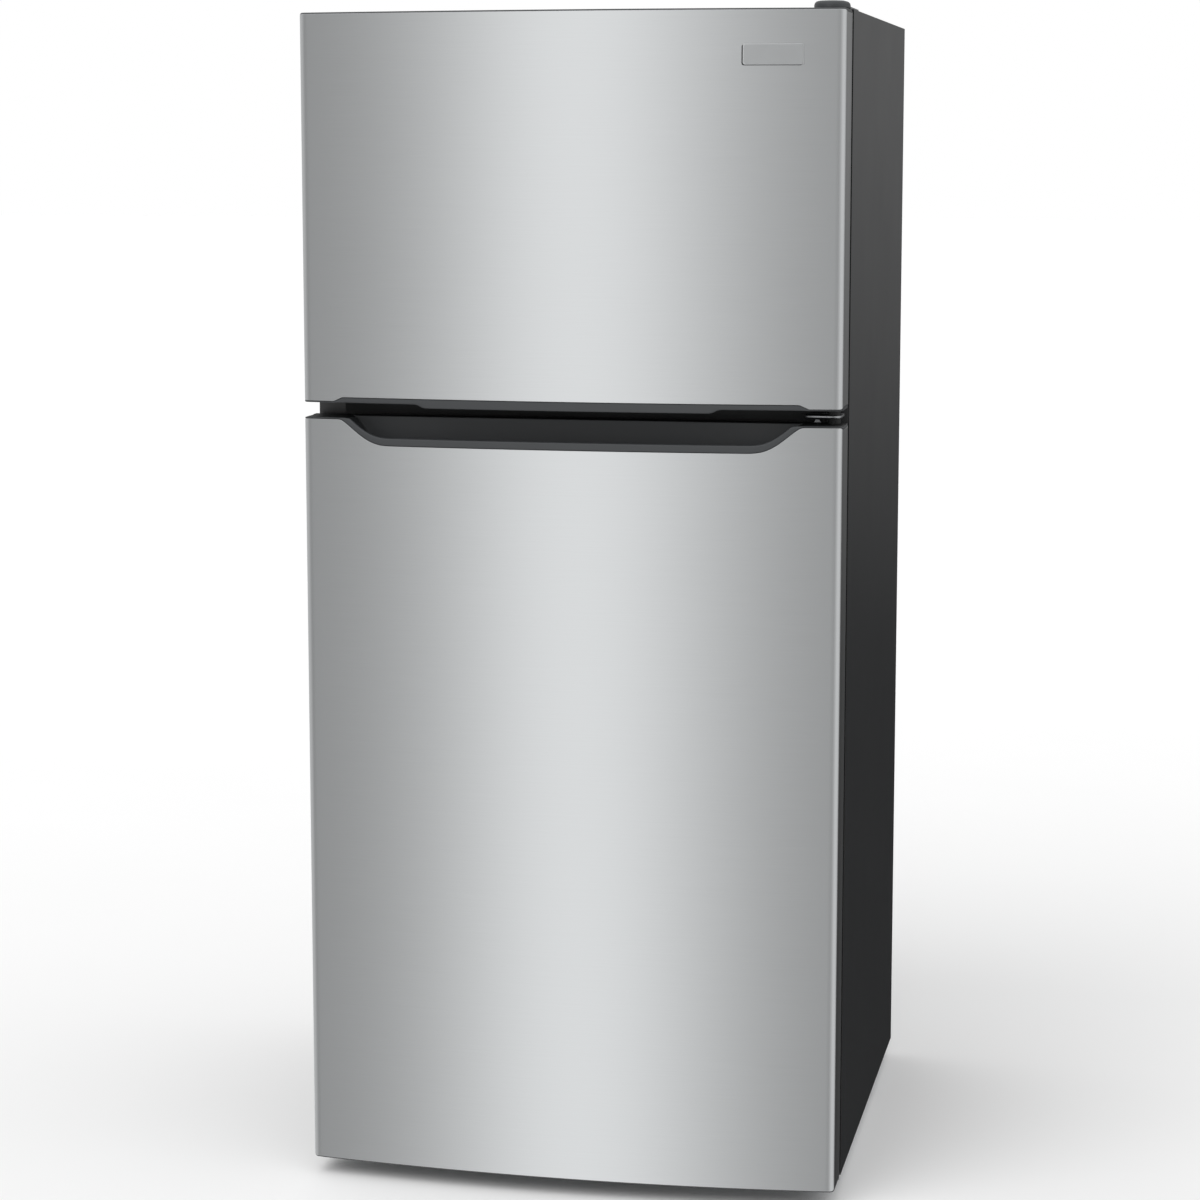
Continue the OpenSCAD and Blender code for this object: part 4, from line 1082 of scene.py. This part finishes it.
def nameplate():
    """Blank plated badge on its adhesive pad, lying along the crown; the pad paints the badge's shadow."""
    lo, hi = span("nameplate")
    x = (lo.x + hi.x) / 2
    turn = math.asin(x / CROWN_R)
    half_w, half_t = (hi.x - lo.x) / math.cos(turn) / 2, (hi.z - lo.z) / 2
    middle = (lo.z + hi.z) / 2

    def rings(rows, left, down, radius):
        """Loops on the curve of the door, from (inset, height) rows."""
        return [[(x + u * math.cos(turn) + up * math.sin(turn),
                  front_at(x) + u * math.sin(turn) - up * math.cos(turn), z)
                 for u, z in rounded(-half_w + e - left, half_w - e - left, middle - half_t + e - down,
                                     middle + half_t - e - down, radius)] for e, up in rows]

    plate = ((1.2, 0.3), (0.3, 0.5), (0, 0.8), (0, 1.1), (0.25, 1.5), (0.9, 1.75), (1.6, 1.75))
    piece("nameplate", loft(rings(plate, 0.0, 0.0, 3.2)), "freezer_door", badge_metal,
          ["nameplate"])
    # The dark pad is set off to the left and down as the badge's painted shadow.
    pad = ((0.2, -0.1), (0.2, 0.5), (0.5, 0.6), (2.0, 0.6))
    piece("nameplate_pad_shadow", loft(rings(pad, SHADOW_LEFT, SHADOW_DOWN, 3.0)), "freezer_door", vinyl)


nameplate()

# %% [markdown]
# ## Hinge cover
# A small ABS cover snaps over the top hinge. It is a tub turned upside down, with soft top edges and
# a slightly domed top.

# %% Hinge cover
lo, hi = span("top_hinge_cover")
rows = ((0, lo.z), (0.2, hi.z - 6), (1.0, hi.z - 3.6), (3.0, hi.z - 1.6), (7, hi.z - 0.5),
        (15, hi.z))
piece("top_hinge_cover", loft(lying(lo.x, hi.x, lo.y, hi.y, 21, rows), first=False), "cabinet",
      dark_abs, ["top_hinge_cover"], thick=1.8, edge=0.3, sharp=60, towards=(0, 0, 1))

# %% [markdown]
# ## Centre hinge
# One bracket between the doors holds a pin up into the upper door and down into the lower one. Its leg
# is drawn black as painted shade for the dark gap and is screwed to the rail, its plate reaches forward
# with a rounded nose, and black nylon washers carry the doors.


# %% Centre hinge
def disc(x, y, rows, sides=28):
    """Turned part on an upright axis, from (radius, height) rows."""
    return loft([[(x + a, y + b, z) for a, b in circle(r, sides)] for r, z in rows])


PIN_IN, PIN_BEHIND = 14, 12
PLATE_UP, PLATE_THICK = 8.2, 4.4
hinge_lo, hinge_hi = span("center_hinge")
pin_x, pin_y = hinge_hi.x - PIN_IN, hinge_lo.y + PIN_BEHIND
plate_z = FRIDGE_TOP + PLATE_UP
plate_top = plate_z + PLATE_THICK
plate = [[(x, y, z) for x, y in rounded(hinge_lo.x - 7 + e, hinge_hi.x - 3 - e, hinge_lo.y + e,
                                        hinge_hi.y - 0.4, 13 - e)]
         for e, z in ((1.4, plate_z), (0.3, plate_z + 0.9), (0, plate_z + 2.2), (0.4, plate_z + 3.7),
                      (1.5, plate_top))]
pin = disc(pin_x, pin_y, ((3.6, hinge_lo.z), (5, hinge_lo.z + 2), (5, hinge_hi.z - 2),
                          (3.6, hinge_hi.z)))
piece("center_hinge", joined(loft(plate), pin), "cabinet", hinge_steel,
      ["center_hinge"])
leg = facing(hinge_lo.x, hinge_hi.x, FRIDGE_TOP - 10, FREEZER_LOW + 9, 6,
             ((0, hinge_hi.y), (0, hinge_hi.y - 2.2), (0.8, hinge_hi.y - 3)))
washers = [disc(pin_x, pin_y, ((9, z0), (9, z1 - 0.6), (8.2, z1)))
           for z0, z1 in ((FRIDGE_TOP + 0.5, plate_z), (plate_top, FREEZER_LOW - 0.5))]
# The leg takes the black painted shade of the gap, and the black nylon washers share that material.
piece("center_hinge_leg", joined(loft(leg), *washers), "cabinet", gap_shade_black)

# %% [markdown]
# ## Knobs and dial marks
# Two knobs set the temperatures. Each is a fluted disc with a grip bar across it and a white line at
# the end of the bar. Short raised marks stand round each knob, from coldest to warmest.


# %% Knobs
FLUTE, FLUTE_POINTS = 0.35, 60


def knob(node, body):
    """Fluted knob with a grip bar, its axis along Y; its flutes alternate from point to point."""
    lo, hi = span(node)
    cx, cz, back, nose = (lo.x + hi.x) / 2, (lo.z + hi.z) / 2, hi.y, lo.y
    loops = []
    for r, y in ((15.4, back), (16.6, back - 0.8), (16.8, back - 11), (15.6, back - 14.6), (13, back - 16)):
        loops.append([(cx + (r + FLUTE * math.cos(k * math.pi)) * math.cos(2 * math.pi * k / FLUTE_POINTS), y,
                       cz + (r + FLUTE * math.cos(k * math.pi)) * math.sin(2 * math.pi * k / FLUTE_POINTS))
                      for k in range(FLUTE_POINTS)])
    grip = facing(cx - 3.6, cx + 3.6, cz - 15, cz + 15, 2,
                  ((-0.6, back - 14), (0, back - 17), (0.4, nose + 1.2), (1.4, nose)))
    piece(node, joined(loft(loops), loft(grip)), body, knob_grey, [node], sharp=45)
    line = facing(cx - 0.8, cx + 0.8, cz + 5, cz + 13, 0.6, ((0, nose + 0.6), (0, nose - 0.15)))
    piece(node + "_line", loft(line), body, white_abs)
    return cx, cz


# %% Dial marks
MARK_RING = 20.6
ticks = []
for node in ("freezer_knob", "fridge_knob"):
    cx, cz = knob(node, node)
    face = span(node)[1].y + 1
    for k in range(7):
        turn = math.radians(-135 + 45 * k)
        out = Vector((math.sin(turn), 0, math.cos(turn)))
        wide = Vector((math.cos(turn), 0, -math.sin(turn)))
        mid = Vector((cx, 0, cz)) + out * MARK_RING
        ring = [mid + out * a + wide * b for a, b in ((-1.8, -0.6), (1.8, -0.6), (1.8, 0.6),
                                                     (-1.8, 0.6))]
        ticks.append(loft([[(p.x, y, p.z) for p in ring] for y in (face + 0.4, face - 0.3)]))
piece("dial_marks", joined(*ticks), "cabinet", knob_grey)

# %% [markdown]
# ## Lamp lens
# The lens over the lamp is moulded with fine ridges that spread the light. The ridges are real shape
# here, 4 mm apart, running from side to side.

# %% Lamp lens
lo, hi = span("lamp_lens")
RIDGE = 4.0
count = int((hi.y - lo.y - 6) / RIDGE)
outline = [(lo.y, hi.z), (lo.y, lo.z + 1.5), (lo.y + 3, lo.z + 1.2)]
for k in range(count):
    start = lo.y + 3 + k * RIDGE
    outline += [(start + RIDGE * 0.5, lo.z), (start + RIDGE, lo.z + 1.2)]
outline += [(hi.y, lo.z + 1.5), (hi.y, hi.z)]
piece("lamp_lens", loft([[(x, y, z) for y, z in outline] for x in (lo.x, hi.x)]), "cabinet",
      opal, ["lamp_lens"], edge=0.4, sharp=25)

# %% [markdown]
# ## Rear panel and its screws
# The back of the cabinet is a zinc coated sheet, stiffened by two rectangular beads, one inside the
# other, that are pressed out by about a millimetre. Hexagon washer screws hold it along its edges.
# The board over the machine compartment has its own screws.


# %% Rear panel
BEAD = 1.1


def rear_panel():
    """Rear sheet with two pressed beads."""
    lo, hi = span("back_panel")
    y = hi.y
    rows = [(0, y, 3)]
    for start in (60, 190):
        rows += [(start, y, 30), (start + 4, y + BEAD, 28), (start + 12, y + BEAD, 24),
                 (start + 16, y, 22)]
    loops = [[(x, d, z) for x, z in rounded(lo.x + e, hi.x - e, lo.z + e, hi.z - e, r)]
             for e, d, r in rows]
    piece("back_panel", loft(loops, first=False), "cabinet", zinc_sheet,
          ["back_panel"], thick=0.9, edge=0.25, sharp=70, towards=(0, 1, 0))


rear_panel()


# %% Rear screws
def rear_screw(x, z, y):
    """Hexagon washer head, pointing backwards."""
    turned = [loft([[(x + a, d, z + b) for a, b in circle(r, sides)] for r, d in rows])
              for sides, rows in ((20, ((6.2, y), (6.2, y + 0.7), (5.4, y + 1.1))),
                                  (6, ((4.3, y + 1.0), (4.3, y + 3.6), (3.5, y + 4.1))))]
    return joined(*turned)


SCREW_IN = 14
panel_lo, panel_hi = span("back_panel")
cover_lo, cover_hi = span("compressor_cover")
screws = []
for k in range(6):
    z = panel_lo.z + 40 + (panel_hi.z - panel_lo.z - 80) * k / 5
    screws += [rear_screw(side * (panel_hi.x - SCREW_IN), z, panel_hi.y) for side in (-1, 1)]
for k in range(-2, 3):
    screws.append(rear_screw(k * 150, panel_hi.z - SCREW_IN, panel_hi.y))
    screws.append(rear_screw(k * 170, cover_hi.z - 12, cover_hi.y))
screws += [rear_screw(side * (cover_hi.x - SCREW_IN), cover_lo.z + 24, cover_hi.y) for side in (-1, 1)]
piece("rear_screws", joined(*screws), "cabinet", zinc_screw, sharp=30)

# %% [markdown]
# ## Parts that keep their CAD shape
# Frames, hinges, brackets, feet, coils and motors already have the right shape. Each gets its finish,
# and where an edge can be seen it gets a small round, because no real edge is perfectly sharp. The
# imported surface patches are welded first so that the bevel finds the edges.


# %% Finish for a CAD node
def keep(node, finish, edge=0.0):
    """Gives a CAD node its finish and, if asked, rounds its edges."""
    part = frame["nodes"][node]
    for place in part.material_slots:
        place.material = finish
    if edge:
        weld = part.modifiers.new("weld patches", "WELD")
        weld.merge_threshold = 0.002 * MM
        round_edges(part, edge, 35)


# The centre rail takes the black painted shade of the gap between the doors.
for node, finish, edge in (
        ("cabinet_shell", enamel, 0.5), ("center_rail", gap_shade_black, 0.3), ("base_frame", zinc_sheet, 0.4),
        ("foot_brackets", zinc_sheet, 0.8), ("insulation", foam, 0.0), ("top_hinge", hinge_steel, 0.6),
        ("bottom_hinge", hinge_steel, 0.8), ("hinge_screws", zinc_screw, 0.5),
        ("evaporator_cover", liner_white, 0.7), ("dairy_bin", clear, 0.9),
        ("shelf_frames", white_abs, 1.8), ("crisper_cover_frame", white_abs, 1.6),
        ("shelf_glass", glass, 0.8), ("control_housing", white_abs, 2.2),
        ("light_switch", white_abs, 0.8), ("humidity_slider_left", knob_grey, 1.0),
        ("humidity_slider_right", knob_grey, 1.0), ("compressor", black_enamel, 0.0),
        ("condenser_coil", black_enamel, 0.0), ("condenser_fan_motor", motor_black, 0.8),
        ("condenser_fan", fan_white, 0.6), ("refrigerant_tubes", copper, 0.0),
        ("defrost_drain", motor_black, 0.5), ("compressor_cover", board, 0.4),
        ("evaporator_coil", fins, 0.0), ("evaporator_fan_motor", motor_black, 0.8),
        ("evaporator_fan", fan_white, 0.6), ("defrost_heater", fins, 0.4),
        ("leveling_leg_left", feet_nylon, 0.8), ("leveling_leg_right", feet_nylon, 0.8),
        ("rear_roller_left", feet_nylon, 0.8), ("rear_roller_right", feet_nylon, 0.8)):
    keep(node, finish, edge)
print("kept CAD nodes finished")

# %% [markdown]
# ## Floor
# The floor is a wide matt sheet in a pale grey, nearly the shade of the backdrop, so that only the
# soft shadow under the cabinet shows where it is. It isn't part of the object. Reflections skip it,
# so the steel mirrors the even studio and not the sheet.

# %% Floor
backdrop, tree, shader = material("pale_studio_sheet", "#f4f4f4", Roughness=0.9, Specular_IOR_Level=0.0)
grain = add(tree, "TexNoise", Scale=1 / (4 * MM), Detail=2.0)
shade = add(tree, "MixRGB", Fac=grain.outputs["Fac"], Color1=linear("#f3f3f3"), Color2=linear("#f5f5f5"))
plug(tree, shader, Base_Color=shade.outputs["Color"])
floor_mesh = bpy.data.meshes.new("floor")
REACH = 60.0
floor_mesh.from_pydata([(-REACH, -REACH, 0), (REACH, -REACH, 0), (REACH, REACH, 0), (-REACH, REACH, 0)],
                       [], [(0, 1, 2, 3)])
floor_mesh.materials.append(backdrop)
floor = in_scene("floor", floor_mesh)
floor.visible_glossy = False
print("floor reaches", REACH, "m")

# %% [markdown]
# ## Light
# The doors are mirrors for whatever stands round them, so the light is designed as a studio: one broad
# soft panel a little to the left of straight ahead, falling off to both sides, and dim walls behind.
# That panel gives the doors their wide bright band and soft dark edges. The world holds it as
# brightness against compass angle, in degrees from the front towards the right, and the right rear
# also gets darker towards the floor. Matt surfaces get one even light instead, so that the shadow
# stays soft, and a weak sun with a very wide disc gives that shadow a direction.

# %% Studio in the world
world = bpy.data.worlds.new("studio")
bpy.context.scene.world = world
world.use_nodes = True
tree = world.node_tree
tree.nodes.clear()
toward = add(tree, "SeparateXYZ", Vector=add(tree, "TexCoord").outputs["Generated"])
ahead = add(tree, "Math", {"operation": "MULTIPLY"})
tree.links.new(toward.outputs["Y"], ahead.inputs[0])
ahead.inputs[1].default_value = -1.0
compass = add(tree, "Math", {"operation": "ARCTAN2"})
tree.links.new(toward.outputs["X"], compass.inputs[0])
tree.links.new(ahead.outputs[0], compass.inputs[1])
turn = add(tree, "MapRange", Value=compass.outputs[0], From_Min=-math.pi, From_Max=math.pi)
ROUND = ((-180, 0.27), (-160, 0.46), (-130, 0.72), (-80, 0.70), (-58, 0.66), (-42, 0.44), (-31, 0.39),
         (-21, 0.80), (-12, 1.63), (-3, 0.92), (6, 0.43), (18, 0.52), (42, 0.84), (100, 0.84),
         (124, 0.50), (146, 0.30), (162, 0.27), (180, 0.27))
MIRROR_LEVEL, SOFT_LEVEL, VIEW_LEVEL = 2.0, 0.86, 1.0
band = add(tree, "ValToRGB", Fac=turn.outputs["Result"])
band.color_ramp.interpolation = "CARDINAL"
while len(band.color_ramp.elements) < len(ROUND):
    band.color_ramp.elements.new(0.5)
for stop, (angle, level) in zip(band.color_ramp.elements, ROUND):
    stop.position = (angle + 180) / 360
    stop.color = (level / MIRROR_LEVEL, level / MIRROR_LEVEL, level / MIRROR_LEVEL, 1)
print("studio stops", len(ROUND))

# %% Height, the three kinds of ray, and the sun
height = add(tree, "MapRange", Value=toward.outputs["Z"], From_Min=-0.16, From_Max=0.03, To_Min=0.10,
             To_Max=1.0)
right = add(tree, "MapRange", {"interpolation_type": "SMOOTHSTEP"}, Value=compass.outputs[0],
            From_Min=math.radians(115), From_Max=math.radians(150))
white = (1, 1, 1, 1)
shadowed = add(tree, "MixRGB", Fac=right.outputs["Result"], Color1=white,
               Color2=height.outputs["Result"])
mirrored_light = add(tree, "MixRGB", {"blend_type": "MULTIPLY"}, Fac=1.0, Color1=band.outputs["Color"],
                     Color2=shadowed.outputs["Color"])
steep = add(tree, "ValToRGB", Fac=toward.outputs["Z"])
for stop, (rise, bright) in zip([steep.color_ramp.elements[0], steep.color_ramp.elements[1],
                                 steep.color_ramp.elements.new(0.5), steep.color_ramp.elements.new(0.6)],
                                ((0.0, 0.0), (0.5, 0.0), (0.7, 0.5), (1.0, 0.5))):
    stop.position = rise
    stop.color = (bright, bright, bright, 1)
above = add(tree, "MixRGB", {"blend_type": "LIGHTEN"}, Fac=1.0, Color1=mirrored_light.outputs["Color"],
            Color2=steep.outputs["Color"])
seen = add(tree, "LightPath")
mirror_part = add(tree, "Background", Color=above.outputs["Color"], Strength=MIRROR_LEVEL)
soft_part = add(tree, "Background", Color=white, Strength=SOFT_LEVEL)
view_part = add(tree, "Background", Color=white, Strength=VIEW_LEVEL)
by_gloss = add(tree, "MixShader", Fac=seen.outputs["Is Glossy Ray"])
tree.links.new(soft_part.outputs[0], by_gloss.inputs[1])
tree.links.new(mirror_part.outputs[0], by_gloss.inputs[2])
by_view = add(tree, "MixShader", Fac=seen.outputs["Is Camera Ray"])
tree.links.new(by_gloss.outputs[0], by_view.inputs[1])
tree.links.new(view_part.outputs[0], by_view.inputs[2])
out = add(tree, "OutputWorld")
tree.links.new(by_view.outputs[0], out.inputs["Surface"])

sun_data = bpy.data.lights.new("wide_sun", "SUN")
sun_data.energy = 1.1
sun_data.angle = math.radians(50)
sun = in_scene("wide_sun", sun_data)
sun.rotation_euler = (math.radians(42), 0, math.radians(-24))
sun.visible_glossy = False
bpy.context.scene.view_settings.view_transform = "Standard"
print("lamps placed")

# %% [markdown]
# ## Camera
# The camera stands right of the middle at eye height, looks slightly left and down, and uses a long
# lens from over four metres. A small lens shift takes the place of some of the tilt, which keeps the
# sides more nearly upright.

# %% Camera
camera_data = bpy.data.cameras.new("camera")
camera_data.lens = 88.7
camera_data.sensor_width = 36.0
camera_data.shift_y = -0.035
camera_data.clip_end = 200.0
camera = in_scene("camera", camera_data)
camera.location = (0.8655, -4.3344, 1.4752)
LOOK_LEFT, LOOK_DOWN = 11.672, 7.856
camera.rotation_euler = (math.radians(90 - LOOK_DOWN), 0, math.radians(LOOK_LEFT))
bpy.context.scene.camera = camera
print("camera at", tuple(camera.location))

# %% [markdown]
# ## Last update of the view layer

# %% Update the view layer
bpy.context.view_layer.update()
